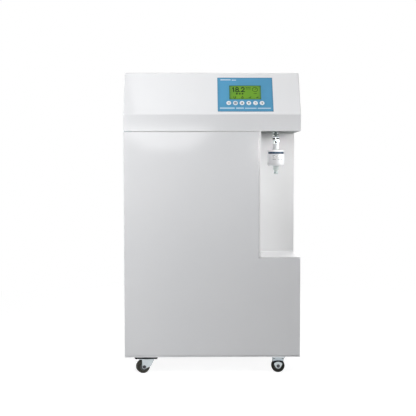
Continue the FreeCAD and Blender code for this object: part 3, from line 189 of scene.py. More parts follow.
lamps = {  # place, aim and size in metres, power in watts, spread in degrees
    "keyLamp": Look(place=(-0.85, -1.15, 1.30), aim=(-0.25, -0.28, 0.80),
                    size=(0.5, 0.5), power=9.4, spread=180),
    "lowLamp": Look(place=(-0.95, -1.25, 0.35), aim=(-0.20, -0.28, 0.35),
                    size=(0.6, 0.6), power=3.0, spread=180),
    "topLamp": Look(place=(0.20, -0.90, 2.30), aim=(0.05, -0.25, 0.95),
                    size=(1.2, 0.6), power=5.9, spread=180),
    "bayLamp": Look(place=(0.75, -0.32, 0.88), aim=(0.235, -0.087, 0.60),
                    size=(0.22, 0.22), power=0.33, spread=60),
    "sideLamp": Look(place=(0.85, -0.65, 0.80), aim=(0.225, -0.19, 0.745),
                     size=(0.3, 0.3), power=0.07, spread=40),
    "frontLamp": Look(place=(-0.10, -1.60, 0.80), aim=(0.225, -0.19, 0.765),
                      size=(0.06, 0.06), power=0.008, spread=6),
    "fillLamp": Look(place=(2.3, -1.9, 1.7), aim=(0.1, -0.1, 0.7),
                     size=(1.2, 1.4), power=18.0, spread=180),
    "backLamp": Look(place=(0.9, 2.7, 2.3), aim=(0.0, 0.2, 0.6),
                     size=(1.6, 1.2), power=34.0, spread=180),
}
worldLook = Look(seen=1.0, ambient=0.02)
floorLook = Look(half=9.0, pale=(0.70, 0.70, 0.705), lift=0.5, seen=1.78,
             near=0.9, far=1.9)  # metres from the object's middle
card = Look(corners=((-0.41, 0.832), (-0.088, 0.832), (0.10, 1.02), (-0.72, 1.02)),
        y=-4.0, strength=5.0)  # a pale card behind the camera, seen only as a sheen


def addLamp(name, look):
    lamp = bpy.data.lights.new(name, "AREA")
    lamp.shape = "RECTANGLE"
    lamp.size, lamp.size_y = look.size
    lamp.energy = look.power
    lamp.spread = math.radians(look.spread)
    holder = bpy.data.objects.new(name, lamp)
    holder.location = look.place
    aim = Vector(look.aim) - Vector(look.place)
    holder.rotation_euler = aim.to_track_quat("-Z", "Y").to_euler()
    holder.visible_camera = False
    scene.collection.objects.link(holder)


def viewedRay(finish):
    # 1 for the rays that show the surroundings: camera, glossy and transmission rays
    rays = [finish.node("LightPath", out=name)
            for name in ("Is Camera Ray", "Is Glossy Ray", "Is Transmission Ray")]
    return (rays[0] + rays[1] + rays[2]).clipped()


def addWorld(look):
    world = bpy.data.worlds.new("studio")
    scene.world = world
    finish = Finish("studio", world)
    strength = viewedRay(finish) * (look.seen - look.ambient) + look.ambient
    finish.finishWith(finish.node("Background", {}, {"Color": (1.0, 1.0, 1.0),
                                                     "Strength": strength}), "OutputWorld")


def addStage(name, corners, finish):
    mesh = bpy.data.meshes.new(name)
    mesh.from_pydata(corners, [], [list(range(len(corners)))])
    mesh.materials.append(finish.owner)
    piece = bpy.data.objects.new(name, mesh)
    scene.collection.objects.link(piece)
    return piece


def addFloor(look):
    # the floor keeps the shadow; its light parts reach plain white in the picture
    finish = Finish("paleFloor")
    grain = finish.noise(40.0, 3.0)
    pale = look.pale
    colour = finish.mix(grain, pale, tuple(part * 0.985 for part in pale))
    matt = finish.node("BsdfDiffuse", {}, {"Color": colour})
    bright = finish.node("Emission", {}, {"Color": (1.0, 1.0, 1.0), "Strength": look.seen})
    white = finish.node("Emission", {}, {"Color": (1.0, 1.0, 1.0), "Strength": 1.0})
    shown = viewedRay(finish)
    away = (finish.axis("X") ** 2 + finish.axis("Y") ** 2) ** 0.5
    lifted = finish.node("MixShader", {}, {0: shown * look.lift, 1: matt, 2: bright})
    finish.finishWith(finish.node("MixShader", {}, {0: shown * away.step(look.near, look.far),
                                                    1: lifted, 2: white}))
    side = look.half
    addStage("floor", [(-side, -side, 0), (side, -side, 0), (side, side, 0), (-side, side, 0)],
             finish)


def addCard(look):
    finish = Finish("sheenCard")
    finish.finishWith(finish.node("Emission", {}, {"Strength": look.strength}))
    piece = addStage("sheenCard", [(x, look.y, z) for x, z in look.corners], finish)
    piece.visible_camera = False
    piece.visible_diffuse = False
    piece.visible_shadow = False


for lampName, lampLook in lamps.items():
    addLamp(lampName, lampLook)
addWorld(worldLook)
addFloor(floorLook)
addCard(card)
print("lights, world and floor set")


# ---- finishes ----

def paint(finish, pale, deep, cloud, peel, rough, coat, coatRough, height):
    # slow cloud between two tones, fine orange peel as bump, a clear gloss on top
    tone = finish.noise(cloud, 3.0, 0.5).step(0.3, 0.7)
    skin = finish.noise(peel, 2.0, 0.55)
    speck = finish.noise(peel * 3.1, 1.0)
    colour = finish.mix(tone * 0.7 + speck * 0.3, deep, pale)
    return finish.cover({
        "Base Color": colour, "Roughness": rough + (skin - 0.5) * 0.10 + (tone - 0.5) * 0.04,
        "Coat Weight": coat, "Coat Roughness": coatRough, "Normal": finish.bump(skin, height)})


def moulded(finish, pale, deep, cloud, grain, rough, height, fixed=None):
    # cloudy tone, moulded grain as bump; the rest of the look is constant
    tone = finish.noise(cloud, 3.0, 0.55).step(0.3, 0.7)
    tooth = finish.noise(grain, 2.0, 0.6)
    sockets = {"Base Color": finish.mix(tone * 0.8 + tooth * 0.2, deep, pale),
               "Roughness": rough + (tooth - 0.5) * 0.14 + (tone - 0.5) * 0.05,
               "Normal": finish.bump(tooth, height)}
    return finish.cover({**sockets, **(fixed or {})})


def metal(finish, pale, deep, cloud, lines, stretch, rough, height, spots, spotColour):
    # fine lines drawn along one axis over a slow cloud, both in tone and in roughness
    tone = finish.noise(cloud, 4.0, 0.6).step(0.25, 0.75)
    drawn = finish.noise(lines, 3.0, 0.6, (1, 1, stretch))
    spot = finish.noise(cloud * 9, 3.0, 0.7).step(0.56, 0.74)
    colour = finish.mix(tone * 0.6 + drawn * 0.4, deep, pale)
    colour = finish.mix(spot * spots, colour, spotColour)
    return finish.cover({
        "Base Color": colour, "Metallic": 1.0 - spot * spots * 0.5,
        "Roughness": rough + (drawn - 0.5) * 0.22 + spot * 0.12 + (tone - 0.5) * 0.08,
        "Normal": finish.bump(drawn, height)})


def spangled(finish, pale, deep, crystals, rough, height):
    # galvanised sheet: flat crystals of slightly different tone and roughness
    cells = finish.node("TexVoronoi", {}, {"Vector": finish.coords(), "Scale": crystals},
                        "Color")
    shade = finish.node("SeparateXYZ", {}, {0: cells}, "X")
    fine = finish.noise(crystals * 14, 2.0)
    return finish.cover({
        "Base Color": finish.mix(shade * 0.8 + fine * 0.2, deep, pale),
        "Metallic": 0.9 - fine * 0.1, "Roughness": rough + (shade - 0.5) * 0.2,
        "Normal": finish.bump(fine, height)})


# rows of values in the order of their function's arguments; bump heights in micrometres
paints = {  # pale, deep, cloud, orange peel, roughness, coat, its roughness, bump
    "whiteCoat": ((0.805, 0.81, 0.825), (0.77, 0.78, 0.80), 3.0, 520.0, 0.42, 0.85, 0.07, 12),
    # the bay's back wall: a paler copy of the white coat, painted light that brightens the bay
    "bayPaintedLightCoat": ((0.845, 0.845, 0.85), (0.815, 0.82, 0.82), 5.0, 520.0, 0.45, 0.5, 0.15, 12),
    # the bay's lip and shelf: a still paler copy of the white coat, a painted highlight on the
    # bright edge
    "lipPaintedHighlightCoat": ((0.95, 0.95, 0.955), (0.93, 0.93, 0.94), 5.0, 520.0, 0.45, 0.5, 0.15, 12),
    # the bay's ceiling: the white coat darkened to grey-green, painted shade under the head
    "ceilingPaintedShadeCoat": ((0.19, 0.212, 0.202), (0.165, 0.188, 0.178), 5.0, 520.0, 0.5, 0.1, 0.3, 12),
    "tankPaint": ((0.79, 0.80, 0.81), (0.74, 0.75, 0.77), 9.0, 400.0, 0.3, 0.8, 0.1, 20),
    "motorPaint": ((0.055, 0.056, 0.06), (0.035, 0.035, 0.04), 30.0, 700.0, 0.4, 0.3, 0.25, 40),
}
plastics = {  # pale, deep, cloud, grain, roughness, bump, constant sockets
    "whitePlastic": ((0.82, 0.82, 0.80), (0.77, 0.77, 0.75), 20.0, 900.0, 0.38, 20),
    "capPlastic": ((0.16, 0.30, 0.46), (0.12, 0.25, 0.40), 25.0, 900.0, 0.36, 20),
    "keyPlastic": ((0.90, 0.915, 0.93), (0.85, 0.87, 0.89), 90.0, 1600.0, 0.36, 10),
    "darkPlastic": ((0.034, 0.034, 0.037), (0.022, 0.022, 0.024), 40.0, 1500.0, 0.45, 30),
    "mattBlack": ((0.020, 0.020, 0.026), (0.012, 0.012, 0.016), 60.0, 1500.0, 0.6, 20,
                  {"Specular IOR Level": 0.15}),
    "milkyPlastic": ((0.92, 0.93, 0.945), (0.89, 0.905, 0.92), 45.0, 700.0, 0.24, 15,
                     {"Coat Weight": 0.4, "Coat Roughness": 0.1}),
    "clearPlastic": ((0.86, 0.93, 0.91), (0.78, 0.87, 0.85), 120.0, 900.0, 0.12, 10,
                     {"Transmission Weight": 0.4, "IOR": 1.48}),
    "fittingPlastic": ((0.93, 0.97, 0.965), (0.88, 0.94, 0.93), 120.0, 900.0, 0.06, 6,
                       {"Transmission Weight": 0.9, "IOR": 1.45}),
    "coreTube": ((0.17, 0.235, 0.225), (0.12, 0.18, 0.17), 90.0, 900.0, 0.35, 10),
    "navyPlastic": ((0.008, 0.06, 0.13), (0.003, 0.022, 0.06), 70.0, 1100.0, 0.26, 20),
    "bowlPlastic": ((0.66, 0.76, 0.84), (0.58, 0.69, 0.79), 16.0, 600.0, 0.16, 10,
                    {"Transmission Weight": 0.6, "IOR": 1.45}),
    "valvePlastic": ((0.74, 0.74, 0.72), (0.69, 0.69, 0.66), 60.0, 900.0, 0.4, 20),
    "blueTube": ((0.06, 0.22, 0.54), (0.04, 0.17, 0.44), 30.0, 800.0, 0.28, 10),
    "whiteTube": ((0.83, 0.85, 0.85), (0.77, 0.80, 0.80), 30.0, 800.0, 0.28, 10),
    "boardGreen": ((0.035, 0.18, 0.08), (0.02, 0.12, 0.05), 140.0, 900.0, 0.3, 40),
    "sealRubber": ((0.60, 0.61, 0.62), (0.50, 0.51, 0.52), 60.0, 1200.0, 0.6, 40),
    # pale strips in the door gaps: painted light over their shade
    "paintedGapPale": ((0.80, 0.80, 0.81), (0.74, 0.74, 0.75), 60.0, 1200.0, 0.6, 30),
    "printGrey": ((0.22, 0.23, 0.26), (0.17, 0.18, 0.21), 200.0, 1500.0, 0.4, 10),
    "printWhite": ((0.78, 0.90, 0.96), (0.70, 0.85, 0.93), 150.0, 1500.0, 0.4, 10),
    "printPale": ((0.47, 0.67, 0.80), (0.38, 0.60, 0.75), 320.0, 1500.0, 0.4, 10),
    "digitInk": ((0.008, 0.030, 0.006), (0.005, 0.020, 0.004), 300.0, 1800.0, 0.5, 10,
                 {"Specular IOR Level": 0.15}),
    "faintInk": ((0.018, 0.055, 0.008), (0.012, 0.042, 0.006), 300.0, 1800.0, 0.5, 10,
                 {"Specular IOR Level": 0.15}),
    "keyInk": ((0.03, 0.05, 0.075), (0.02, 0.035, 0.05), 300.0, 1800.0, 0.4, 10),
    "keyShade": ((0.46, 0.53, 0.60), (0.40, 0.48, 0.55), 300.0, 1800.0, 0.4, 10),
    "blackPaint": ((0.020, 0.020, 0.022), (0.010, 0.010, 0.011), 60.0, 900.0, 0.5, 40,
                   {"Specular IOR Level": 0.15}),
    "sedimentWound": ((0.84, 0.83, 0.79), (0.70, 0.69, 0.64), 60.0, 260.0, 0.8, 400),
}
metals = {  # pale, deep, cloud, lines, their stretch, roughness, bump, spots, their colour
    "zincPlate": ((0.60, 0.645, 0.665), (0.45, 0.495, 0.515), 28.0, 260.0, 6, 0.34, 30, 0.35,
                  (0.40, 0.42, 0.44)),
    # a darker copy of zincPlate: painted shade on the fixed forks' skirts
    "zincPaintedShade": ((0.47, 0.52, 0.555), (0.36, 0.41, 0.445), 28.0, 260.0, 6, 0.4, 30, 0.35,
                  (0.32, 0.35, 0.38)),
    "stainless": ((0.74, 0.74, 0.73), (0.60, 0.60, 0.59), 12.0, 60.0, 30, 0.27, 20, 0.05,
                  (0.5, 0.5, 0.5)),
    "darkSteel": ((0.10, 0.10, 0.11), (0.045, 0.045, 0.05), 60.0, 300.0, 2, 0.38, 30, 0.4,
                  (0.20, 0.17, 0.14)),
    "brass": ((0.78, 0.60, 0.30), (0.62, 0.46, 0.20), 80.0, 400.0, 8, 0.3, 20, 0.2,
              (0.35, 0.24, 0.10)),
    "chrome": ((0.86, 0.88, 0.90), (0.74, 0.77, 0.80), 60.0, 500.0, 3, 0.14, 8, 0.08,
               (0.4, 0.42, 0.45)),
    "castAlloy": ((0.64, 0.65, 0.66), (0.48, 0.49, 0.50), 40.0, 700.0, 1, 0.48, 200, 0.3,
                  (0.36, 0.36, 0.37)),
}

finishes = {}
for makeFinish, rows in ((paint, paints), (moulded, plastics), (metal, metals)):
    for finishName, row in rows.items():
        finishes[finishName] = makeFinish(Finish(finishName), *row)
finishes["galvanised"] = spangled(Finish("galvanised"), (0.70, 0.71, 0.73), (0.50, 0.52, 0.54),
                                  130.0, 0.42, 30)


def tyreRubber():
    # dark rubber, paler and browner where dust lies in fine scuffs; paler towards low X, which is
    # painted light on the lamps' side
    finish = Finish("tyreRubber")
    cloud = finish.noise(70.0, 4.0, 0.65).step(0.42, 0.72)
    scuff = finish.noise(900.0, 3.0, 0.7)
    # the rise towards low X is painted light: the tyres on the lit side come out paler
    dustAndSideLight = (cloud * 0.5 + scuff * 0.25) * (0.85 - finish.axis("X") * 2.2)
    colour = finish.mix(dustAndSideLight, (0.010, 0.010, 0.009), (0.17, 0.165, 0.135))
    return finish.cover({"Base Color": colour, "Roughness": 0.62 + (scuff - 0.5) * 0.25,
                         "Specular IOR Level": 0.2, "Normal": finish.bump(scuff, 60)})


def nearEdge(finish, look, powerX, powerZ):
    # 0 over a flat panel's middle, rising to 1 at its four edges
    across = (finish.axis("X") - look.x * mm).size() / (look.halfX * mm)
    along = (finish.axis("Z") - look.z * mm).size() / (look.halfZ * mm)
    return ((across ** powerX) + (along ** powerZ)).clipped()


def displayGlass(look):
    # lit yellow-green glass, deeper towards its four edges
    finish = Finish("displayGlass")
    edge = nearEdge(finish, look, 12, 9)
    cloud = finish.noise(26.0, 2.0)
    colour = finish.mix(cloud.step(0.3, 0.7), look.deep, look.pale)
    colour = finish.mix(edge, colour, look.edge)
    return finish.cover({
        "Base Color": colour, "Emission Color": colour, "Emission Strength": look.glow,
        "Roughness": 0.3 + cloud * 0.06, "Specular IOR Level": 0.12})


def printedFilm(look):
    # satin blue film, a little deeper along its rim, with a fine matt tooth
    finish = Finish("printedFilm")
    rim = nearEdge(finish, look, 40, 34)
    cloud = finish.noise(14.0, 3.0).step(0.3, 0.7)
    tooth = finish.noise(1400.0, 2.0)
    colour = finish.mix(cloud, look.deep, look.pale)
    colour = finish.mix(rim * 0.75, colour, look.rim)
    return finish.cover({"Base Color": colour, "Roughness": 0.42 + (tooth - 0.5) * 0.12,
                         "Specular IOR Level": 0.3, "Normal": finish.bump(tooth, 10)})


def inletMoulding(look):
    # black moulding whose contact blades, in the middle of the well, are bright metal
    finish = Finish("inletMoulding")
    grain = finish.noise(1500.0, 2.0)
    x = finish.axis("X") - look.x * mm
    z = finish.axis("Z") - look.z * mm
    thin, tall, rise = look.halfWidth * mm, look.halfHeight * mm, look.rise * mm
    outer = ((x.size() - look.spread * mm).size() < thin) * ((z + rise).size() < tall)
    middle = (x.size() < thin) * ((z - rise).size() < tall)
    blade = ((outer + middle) * (finish.axis("Y") < look.well * mm)).clipped()
    colour = finish.mix(blade, finish.mix(grain, (0.022, 0.022, 0.024), (0.036, 0.036, 0.04)),
                        (0.72, 0.70, 0.64))
    return finish.cover({
        "Base Color": colour, "Metallic": blade,
        "Roughness": 0.45 + (grain - 0.5) * 0.12 - blade * 0.2,
        "Normal": finish.bump(grain, 30)})


finishes["tyreRubber"] = tyreRubber()
finishes["displayGlass"] = displayGlass(Look(x=113.0, halfX=54.25, z=963.95, halfZ=24.85,
                                             glow=0.25, pale=(0.155, 0.335, 0.017),
                                             deep=(0.115, 0.287, 0.019),
                                             edge=(0.035, 0.11, 0.05)))
finishes["printedFilm"] = printedFilm(Look(x=113.0, halfX=94.5, z=956.9, halfZ=59.9,
                                           pale=(0.084, 0.36, 0.61),
                                           deep=(0.074, 0.325, 0.555), rim=(0.05, 0.17, 0.29)))
finishes["inletMoulding"] = inletMoulding(Look(x=-230.0, z=119.5, spread=7.0, rise=3.5,
                                               halfWidth=1.15, halfHeight=2.2, well=270.55))

dressing = {  # which CAD node keeps its shape and takes which finish
    "whiteCoat": ["base_pan", "left_side_panel", "right_side_panel", "rear_panel",
                  "head_shell", "door_panel"],
    # the bay's back wall, its lip and shelf, and its ceiling take copies of the white coat that
    # carry painted light and painted shade
    "bayPaintedLightCoat": ["bay_back_wall"],
    "lipPaintedHighlightCoat": ["bay_side_wall", "bay_shelf"],
    "ceilingPaintedShadeCoat": ["head_floor"],
    "galvanised": ["equipment_plate", "power_supply"],
    "zincPlate": ["pivot_brackets", "swivel_fork_front", "swivel_fork_rear", "rigid_forks"],
    "blackPaint": ["swivel_plates"],
    "brass": ["door_sleeves"],
    "darkPlastic": ["door_magnets", "holding_clips", "rocker_frame", "rocker"],
    "inletMoulding": ["mains_inlet"],
    "printedFilm": ["panel_overlay"],
    "displayGlass": ["lcd_display"],
    "keyPlastic": ["control_key_%d" % number for number in range(1, 7)],
    "boardGreen": ["control_board"],
    "valvePlastic": ["dispense_valve"],
    "whitePlastic": ["prefilter_manifold", "rear_fittings"],
    "castAlloy": ["pump_head"],
    "blueTube": ["raw_water_tubes"],
    "whiteTube": ["pure_water_tubes"],
}
for finishName, members in dressing.items():
    for member in members:
        holder = nodes[member]
        if not holder.material_slots:
            holder.data.materials.append(None)
        for materialSlot in holder.material_slots:
            materialSlot.material = finishes[finishName].owner
print("finishes made:", len(finishes))


# ---- surfaces ----

class Place:
    # a spot in millimetres with its own three unit axes
    def __init__(self, origin, x=(1, 0, 0), y=(0, 1, 0), z=(0, 0, 1)):
        self.origin = np.array(origin, float)
        self.axes = np.array([x, y, z], float)

    def at(self, local):
        return (self.origin + np.asarray(local, float) @ self.axes).reshape(-1, 3)


def alongX(x, y, z):
    # a place whose z axis runs along X
    return Place((x, y, z), (0, 1, 0), (0, 0, 1), (1, 0, 0))


def alongY(x, y, z, up=1):
    # a place whose z axis runs along Y, with Z up or down as its y axis
    return Place((x, y, z), (1, 0, 0), (0, 0, up), (0, 1, 0))


def fromAxis(middle, turn, reach, z):
    # a place on the outside of an upright round piece, its z axis pointing outwards
    a = math.radians(turn)
    out, side = (math.cos(a), math.sin(a), 0), (-math.sin(a), math.cos(a), 0)
    return Place((middle["x"] + out[0] * reach, middle["y"] + out[1] * reach, z), side,
                 (0, 0, 1), out)


def gridFaces(rows, columns, wrapRows=False, wrapColumns=True):
    # four corners of each cell of a grid of points, round the seam where it wraps
    row, column = np.meshgrid(np.arange(rows if wrapRows else rows - 1),
                              np.arange(columns if wrapColumns else columns - 1),
                              indexing="ij")
    below, beside = (row + 1) % rows, (column + 1) % columns
    cells = [row * columns + column, row * columns + beside, below * columns + beside,
             below * columns + column]
    return np.stack(cells, -1).reshape(-1, 4)


def soften(points, setback=0.4, steps=4, closed=False):
    # every corner p becomes the parabola (1-s)^2 a + 2s(1-s) p + s^2 b, where a and b lie
    # a setback away on its two sides
    corner = np.asarray(points, float)
    before, after = np.roll(corner, 1, 0), np.roll(corner, -1, 0)
    arrive, leave = before - corner, after - corner
    arriveLength = np.linalg.norm(arrive, axis=1, keepdims=True)
    leaveLength = np.linalg.norm(leave, axis=1, keepdims=True)
    reach = np.minimum(setback, 0.45 * np.minimum(arriveLength, leaveLength))
    first = corner + arrive / arriveLength * reach
    last = corner + leave / leaveLength * reach
    share = np.linspace(0, 1, steps)[None, :, None]
    curve = ((1 - share) ** 2 * first[:, None] + 2 * share * (1 - share) * corner[:, None]
             + share ** 2 * last[:, None])
    if closed:
        return curve.reshape(-1, 2)
    return np.concatenate([corner[:1], curve[1:-1].reshape(-1, 2), corner[-1:]])


def lathe(profile, place, around=72, ripple=None, loop=False):
    # profile (r, h) turned by angle a: r cos a, r sin a, h along the place's axes;
    # ripple changes r and h as a function of a, r and h
    radius, height = np.asarray(profile, float).T
    angle = np.arange(around) * tau / around
    a, r = np.meshgrid(angle, radius)
    h = np.repeat(height[:, None], around, 1)
    if ripple:
        r, h = ripple(a, r, h)
    local = np.stack([r * np.cos(a), r * np.sin(a), h], -1)
    return place.at(local), [gridFaces(len(radius), around, wrapRows=loop)]


def strip(path, section, place, closed=False):
    # a section (across, out) carried along a flat path: path + across * normal + out * z
    line = np.asarray(path, float)
    if closed:
        along = np.roll(line, -1, 0) - np.roll(line, 1, 0)
    else:
        along = np.gradient(line, axis=0)
    along /= np.linalg.norm(along, axis=1, keepdims=True)
    normal = np.stack([-along[:, 1], along[:, 0]], -1)
    across, out = np.asarray(section, float).T
    flat = line[:, None] + normal[:, None] * across[None, :, None]
    local = np.concatenate([flat, np.broadcast_to(out[None, :, None], flat.shape[:2] + (1,))],
                           -1)
    faces = [gridFaces(len(line), len(across), wrapRows=closed)]
    if not closed:
        ring = np.arange(len(across))
        faces += [ring[None, ::-1], ring[None] + (len(line) - 1) * len(across)]
    return place.at(local), faces


def bar(halfWidth, low, high):
    # the section of a flat stroke
    return [(-halfWidth, low), (halfWidth, low), (halfWidth, high), (-halfWidth, high)]


def prism(outline, low, high, place):
    # a flat outline between two heights
    flat = np.asarray(outline, float)
    count = len(flat)
    rings = [np.column_stack([flat, np.full(count, level)]) for level in (low, high)]
    ring = np.arange(count)
    return place.at(np.concatenate(rings)), [gridFaces(2, count), ring[None, ::-1],
                                             ring[None] + count]


def blocks(centres, half, low, high, place):
    # one small square block at each centre, all worked out together
    square = np.array([(-1, -1), (1, -1), (1, 1), (-1, 1)], float)
    flat = (centres[:, None] + square[None] * half)
    levels = np.array([low, high])
    local = np.concatenate([
        np.broadcast_to(flat[:, None], (len(centres), 2, 4, 2)),
        np.broadcast_to(levels[None, :, None, None], (len(centres), 2, 4, 1))], -1)
    cube = np.array([(3, 2, 1, 0), (4, 5, 6, 7), (0, 1, 5, 4), (1, 2, 6, 5), (2, 3, 7, 6),
                     (3, 0, 4, 7)])
    faces = (np.arange(len(centres))[:, None, None] * 8 + cube[None]).reshape(-1, 4)
    return place.at(local), [faces]


def arc(x, y, radiusX, radiusY, start, end, count=28):
    # points of an elliptic arc between two angles in degrees
    angle = np.radians(np.linspace(start, end, count))
    return np.stack([x + radiusX * np.cos(angle), y + radiusY * np.sin(angle)], -1)


def makePiece(name, parts, finish, stands=None, body="cabinet", crease=32):
    # one mesh from all the parts, with seams and poles merged and faces turned outwards
    points, faces, start = [], [], 0
    for partPoints, partFaces in parts:
        points.append(partPoints)
        for group in partFaces:
            faces += (group + start).tolist()
        start += len(partPoints)
    mesh = bpy.data.meshes.new(name)
    mesh.from_pydata((np.concatenate(points) * mm).tolist(), [], faces)
    shell = bmesh.new()
    shell.from_mesh(mesh)
    bmesh.ops.remove_doubles(shell, verts=shell.verts, dist=0.000002)
    bmesh.ops.recalc_face_normals(shell, faces=shell.faces)
    shell.to_mesh(mesh)
    shell.free()
    mesh.shade_smooth()
    mesh.set_sharp_from_angle(angle=math.radians(crease))
    mesh.materials.append(finishes[finish].owner)
    piece = bpy.data.objects.new(name, mesh)
    scene.collection.objects.link(piece)
    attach(piece, body)
    if stands:
        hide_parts(stands)


def hexagon(low, high, least):
    # flats six times round, between two heights and outside a least radius
    def ripple(a, r, h):
        turn = np.mod(a, tau / 6) - tau / 12
        flat = r * math.cos(tau / 12) / np.cos(turn)
        return np.where((h > low) & (h < high) & (r > least), flat, r), h
    return ripple


def knurl(count, depth, low, high, least):
    # a wave round the outside between two heights
    def ripple(a, r, h):
        wave = depth * (0.5 + 0.5 * np.cos(count * a)) ** 0.7
        return np.where((h > low) & (h < high) & (r > least), r - wave, r), h
    return ripple


# ---- dispenser and final filter ----

nozzle = Look(x=225.0, y=-190.0)
nozzlePlace = Place((nozzle.x, nozzle.y, 0))

bushing = Look(under=815.0, ceiling=831.5, floorTop=833.0, collar=11.5, thread=8.0, nut=13.0,
               nutTop=839.0, stub=6.0, top=851.0, flutes=24, core=2.8)


def dispenseBushing(look):
    # fluted collar below the ceiling, hexagon nut and stub above it
    under, ceiling = look.under, look.ceiling
    collar = soften([
        (0, under), (look.collar - 2.2, under), (look.collar, under + 2.2),
        (look.collar, under + 5.4), (look.collar - 0.9, under + 6.2),
        (look.collar - 0.9, under + 7.8), (look.collar, under + 8.6), (look.collar, ceiling),
        (look.thread, ceiling), (look.thread, look.floorTop), (look.nut, look.floorTop),
        (look.nut, look.nutTop), (look.stub, look.nutTop), (look.stub, look.top),
        (0, look.top)], 0.35)
    flutes = knurl(look.flutes, 0.35, under + 9, ceiling - 1.2, look.collar - 0.6)
    nut = hexagon(look.floorTop + 0.2, look.nutTop - 0.2, look.stub + 3)

    def ripple(a, r, h):
        r, h = flutes(a, r, h)
        return nut(a, r, h)
    return [lathe(collar, nozzlePlace, 96, ripple)]


def bushingCore(look):
    # the dark inner tube that shows through the collar
    low, high = look.under + 0.8, look.top - 2.0
    return [lathe(soften([(0, low), (look.core, low), (look.core, high), (0, high)], 0.3),
                  nozzlePlace, 48)]


makePiece("bushingBody", dispenseBushing(bushing), "fittingPlastic",
          "dispense_bushing")
makePiece("bushingCore", bushingCore(bushing), "coreTube")

coupling = Look(low=790.0, top=815.0, radius=11.0, neck=9.0, nut=4.6, groove=3.6, bore=6.2,
                boreDepth=20.2, knurls=30)


def dispenseCoupling(look):
    # knurled collar, groove and hexagon nut, bored from below for the filter's spigot
    low, top, radius = look.low, look.top, look.radius
    nutLow = top - look.nut
    grooveLow = nutLow - look.groove
    profile = soften([
        (0, low + look.boreDepth), (look.bore, low + look.boreDepth), (look.bore, low + 0.8),
        (look.bore + 0.8, low), (radius - 1.4, low), (radius, low + 1.6), (radius, low + 3.4),
        (radius - 1.6, low + 3.8), (radius - 1.6, low + 5.0), (radius, low + 5.4),
        (radius, grooveLow - 1.2), (radius - 1.3, grooveLow), (look.neck, grooveLow),
        (look.neck, nutLow), (radius, nutLow), (radius, nutLow + 1.0), (radius, top - 1.0),
        (radius, top), (0, top)], 0.3)
    ribs = knurl(look.knurls, 0.45, low + 5.6, grooveLow - 1.3, radius - 0.4)
    nut = hexagon(nutLow - 0.1, top + 0.1, look.neck + 0.3)

    def ripple(a, r, h):
        r, h = ribs(a, r, h)
        return nut(a, r, h)
    return [lathe(profile, nozzlePlace, 120, ripple)]


makePiece("couplingBody", dispenseCoupling(coupling), "chrome", "dispense_coupling")

latch = Look(z=796.8, radius=3.1, rise=1.2, clip=1.75, clipRadius=10.2, clipZ=808.6,
             gap=(-108.0, -88.0), turn=-97.0)


def latchButton(look):
    # a dished thumb button set into the collar's front, along its own radial axis
    place = fromAxis(nozzle, look.turn, coupling.radius - 0.7, look.z)
    rim, rise = look.radius, look.rise
    dish = soften([(0, -0.6), (rim, -0.6), (rim, rise - 0.3), (rim - 0.4, rise),
                   (rim - 1.0, rise), (rim - 1.6, rise - 0.2), (0, rise - 0.25)], 0.2, 3)
    return lathe(dish, place, 48)


def grooveClip(look):
    # round wire bent to an open ring in the groove between collar and nut, open at the front
    first, last = look.gap[1], look.gap[0] + 360
    bend = arc(0, 0, look.clipRadius, look.clipRadius, first, last, 90)
    angle = np.linspace(0, tau, 13)[:-1]
    section = look.clip * np.stack([np.cos(angle), np.sin(angle)], -1)
    return strip(bend, section, Place((nozzle.x, nozzle.y, look.clipZ)))


makePiece("couplingRing", [latchButton(latch), grooveClip(latch)], "mattBlack")

# the dark-spot values place a painted dark spot on the spout's bell, in place of refraction
capsule = Look(
    spigotTop=809.8, hubTop=789.8, hubLow=769.8, dome=762.4, band=754.8, body=716.3,
    foot=713.3, outlet=698.8, mouth=684.8, spigot=6.0, hub=10.8, radius=30.0, inset=3.6,
    bandIn=2.5, flange=0.8, flangeHeight=5.6, ribs=16, seam=722.0, vent=2.7, ventFace=6.6,
    ventZ=690.6, ventTurn=-122.0)


def capsuleShell(look):
    # turned shell: spigot, finned hub, rounded shoulder over a flange, ring groove, weld seam
    # and foot
    radius, groove = look.radius, look.radius - look.inset
    flange, flangeTop = radius - look.flange, look.dome + look.flangeHeight
    profile = soften([
        (0, look.foot), (12, look.foot), (13, look.foot + 0.6),
        (radius - 4.5, look.foot + 0.6), (radius - 0.6, look.body + 1.0),
        (radius - 0.3, look.seam - 1.4), (radius, look.seam - 1.0), (radius, look.seam + 1.0),
        (radius - 0.3, look.seam + 1.4), (radius - 0.1, look.band), (groove, look.band),
        (groove, look.dome), (flange, look.dome), (flange, flangeTop - 0.6),
        (flange - 1.6, flangeTop), (look.hub + 8, look.hubLow - 0.8),
        (look.hub + 1.8, look.hubLow + 0.2), (look.hub, look.hubLow + 2.2),
        (look.hub - 0.8, look.hubTop), (look.spigot, look.hubTop),
        (look.spigot, look.hubTop + 5), (look.spigot - 0.5, look.hubTop + 5.6),
        (look.spigot - 0.5, look.hubTop + 8), (look.spigot, look.hubTop + 8.6),
        (look.spigot, look.spigotTop), (0, look.spigotTop)], 1.0, 5)
    fins = knurl(look.ribs, 0.5, look.hubLow + 3, look.hubTop - 1.5, look.spigot + 2)
    return [lathe(profile, nozzlePlace, 128, fins)]


def capsuleRing(look):
    # dark ring with a coarse grip, seated in the groove
    inner, outer = look.radius - look.inset + 0.1, look.radius - look.bandIn
    low, high = look.band, look.dome - 0.2
    profile = soften([(inner, low), (outer, low), (outer, low + 1.6), (outer, high - 1.6),
                      (outer, high), (inner, high)], 0.25, 4, closed=True)
    grip = knurl(40, 0.32, low + 1.3, high - 1.3, inner + 0.3)
    return [lathe(profile, nozzlePlace, 240, grip, loop=True)]


